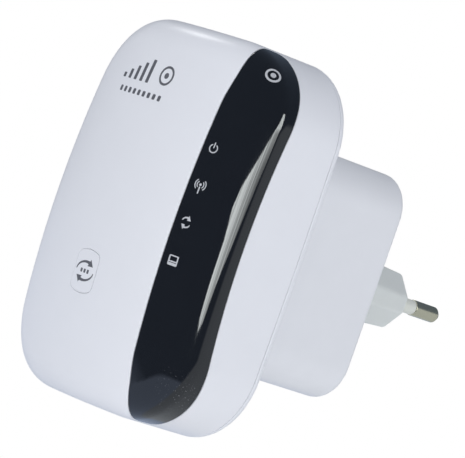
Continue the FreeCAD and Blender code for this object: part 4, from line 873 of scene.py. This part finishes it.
def reflector():
    """A striped panel of light to the right, which only glossy surfaces show: the panel's
    long highlight. Its outline, in degrees of azimuth and elevation, was worked out from
    the highlight in the photo."""
    made = bpy.data.materials.new("reflector_light")
    made.use_nodes = True
    tree = made.node_tree
    tree.nodes.remove(tree.nodes["Principled BSDF"])
    glow = node(tree, "ShaderNodeEmission", in_Color=(0.95, 1.0, 1.0, 1))
    place = node(tree, "ShaderNodeTexCoord")
    mapping = node(tree, "ShaderNodeMapping", in_Scale=(1.0, 1.0, 0.02))
    stripes = node(tree, "ShaderNodeTexNoise", in_Scale=13.0, in_Detail=3.0)
    tree.links.new(place.outputs["Object"], mapping.inputs["Vector"])
    tree.links.new(mapping.outputs["Vector"], stripes.inputs["Vector"])
    axes = node(tree, "ShaderNodeSeparateXYZ")
    tree.links.new(place.outputs["Object"], axes.inputs["Vector"])

    def ramp(socket, start, stop, low, high):
        found = node(tree, "ShaderNodeMapRange")
        for key, value in (("From Min", start), ("From Max", stop), ("To Min", low),
                           ("To Max", high)):
            found.inputs[key].default_value = value
        tree.links.new(socket, found.inputs["Value"])
        return found.outputs["Result"]

    def combine(operation, first, second):
        found = node(tree, "ShaderNodeMath", operation=operation)
        tree.links.new(first, found.inputs[0])
        tree.links.new(second, found.inputs[1])
        return found.outputs["Value"]

    fade = ramp(axes.outputs["Y"], -0.40, 0.25, 8.0, 1.6)
    top = ramp(axes.outputs["Z"], 0.10, 0.25, 0.0, 5.0)
    streaks = ramp(stripes.outputs["Fac"], 0.40, 0.58, 0.35, 1.15)
    power = combine("MULTIPLY", combine("ADD", fade, top), streaks)
    tree.links.new(power, glow.inputs["Strength"])
    tree.links.new(glow.outputs["Emission"], tree.nodes["Material Output"].inputs["Surface"])
    outline = ((57, 3), (61, 5), (75, 6.5), (94, 8), (114, 29), (121, 28), (110, 5), (100, 0.5),
               (88, -3.5), (85, -6.5), (78, -7.8), (71, -7), (68, -4), (67, 0))
    points = []
    for az, el in outline:
        way = direction(math.radians(az), math.radians(el))
        points.append((0.0, way[1] / way[0] * REACH, way[2] / way[0] * REACH))
    data = bpy.data.meshes.new("reflector")
    data.from_pydata(points, [], [tuple(range(len(points)))])
    data.materials.append(made)
    thing = link(bpy.data.objects.new("reflector", data))
    thing.location = Vector(TARGET) + Vector((REACH, 0, 0))
    thing.visible_diffuse = False


reflector()
lamp("edge_light", -91, 44, 1.2, 0.16, 0.8, mirrored=True)
for name, place, size, power in (
        ("fill_front", (0, 0), 0.7, 5.3),
        ("fill_low", (20, -60), 0.9, 1.0),
        ("fill_low_right", (110, -45), 0.7, 2.9),
        ("fill_back_low", (170, -60), 0.9, 0.4),
        ("fill_top", (-110, 80), 1.2, 0.3),
        ("fill_side", (82, 0), 0.5, 7.8),
        ("fill_top_right", (90, 50), 0.7, 0.4),
        ("fill_behind", (225, 10), 0.9, 4.0)):
    lamp(name, *place, FILL_DISTANCE, size, power)

world = bpy.data.worlds.new("studio")
world.use_nodes = True
bpy.context.scene.world = world
tree = world.node_tree
tree.nodes.clear()
path = tree.nodes.new("ShaderNodeLightPath")
dim = node(tree, "ShaderNodeBackground", in_Color=(0.895, 0.92, 1.0, 1), in_Strength=0.65)
room = node(tree, "ShaderNodeBackground")
bright = node(tree, "ShaderNodeBackground", in_Color=(1, 1, 1, 1), in_Strength=1.0)
glossy, seen = tree.nodes.new("ShaderNodeMixShader"), tree.nodes.new("ShaderNodeMixShader")
output = tree.nodes.new("ShaderNodeOutputWorld")
sky = tree.nodes.new("ShaderNodeTexCoord")
shown = None
for plane, limit, edge, colour in (
        ((-0.32, 0.0, -1.0), 0.345, 0.03, (0.37, 0.44, 0.58, 1)),
        ((0.5, 1.0, -0.7), 0.84, 0.04, (0.40, 0.43, 0.46, 1))):
    along = node(tree, "ShaderNodeVectorMath", operation="DOT_PRODUCT")
    along.inputs[1].default_value = plane
    tree.links.new(sky.outputs["Generated"], along.inputs[0])
    ramp = node(tree, "ShaderNodeMapRange")
    ramp.inputs["From Min"].default_value = limit - edge
    ramp.inputs["From Max"].default_value = limit + edge
    tree.links.new(along.outputs["Value"], ramp.inputs["Value"])
    blend = node(tree, "ShaderNodeMix", data_type="RGBA")
    blend.inputs["B"].default_value = colour
    blend.inputs["A"].default_value = ROOM
    if shown:
        tree.links.new(shown, blend.inputs["A"])
    tree.links.new(ramp.outputs["Result"], blend.inputs["Factor"])
    shown = blend.outputs["Result"]
tree.links.new(shown, room.inputs["Color"])
tree.links.new(path.outputs["Is Glossy Ray"], glossy.inputs["Fac"])
tree.links.new(dim.outputs[0], glossy.inputs[1])
tree.links.new(room.outputs[0], glossy.inputs[2])
tree.links.new(path.outputs["Is Camera Ray"], seen.inputs["Fac"])
tree.links.new(glossy.outputs[0], seen.inputs[1])
tree.links.new(bright.outputs[0], seen.inputs[2])
tree.links.new(seen.outputs[0], output.inputs["Surface"])

FLOOR_Z, FLOOR_HALF = -1.6, 8.0
floor_data = bpy.data.meshes.new("floor")
floor_data.from_pydata([(x * FLOOR_HALF, z * FLOOR_HALF, FLOOR_Z)
                        for x, z in ((-1, -1), (1, -1), (1, 1), (-1, 1))], [], [(0, 1, 2, 3)])
floor_data.materials.append(
    finish("pale_floor", (0.90, 0.90, 0.91), (0.87, 0.87, 0.88), 0.6, 8, 0.05))
floor = link(bpy.data.objects.new("floor", floor_data))
floor.visible_glossy = False

camera_data = bpy.data.cameras.new("camera")
camera_data.lens, camera_data.sensor_width = LENS, 36.0
camera_data.clip_start, camera_data.clip_end = 0.01, 50.0
camera = link(bpy.data.objects.new("camera", camera_data))
azimuth, elevation, roll = EYE
backward = direction(azimuth, elevation)
right = np.array([math.cos(azimuth), math.sin(azimuth), 0])
up = np.cross(right, -backward)
across = right * math.cos(roll) + up * math.sin(roll)
upward = up * math.cos(roll) - right * math.sin(roll)
pose = Matrix(np.stack([across, upward, backward], 1).tolist()).to_4x4()
pose.translation = Vector(TARGET + backward * DISTANCE)
camera.matrix_world = pose
bpy.context.scene.camera = camera
bpy.context.scene.view_settings.view_transform = "Standard"
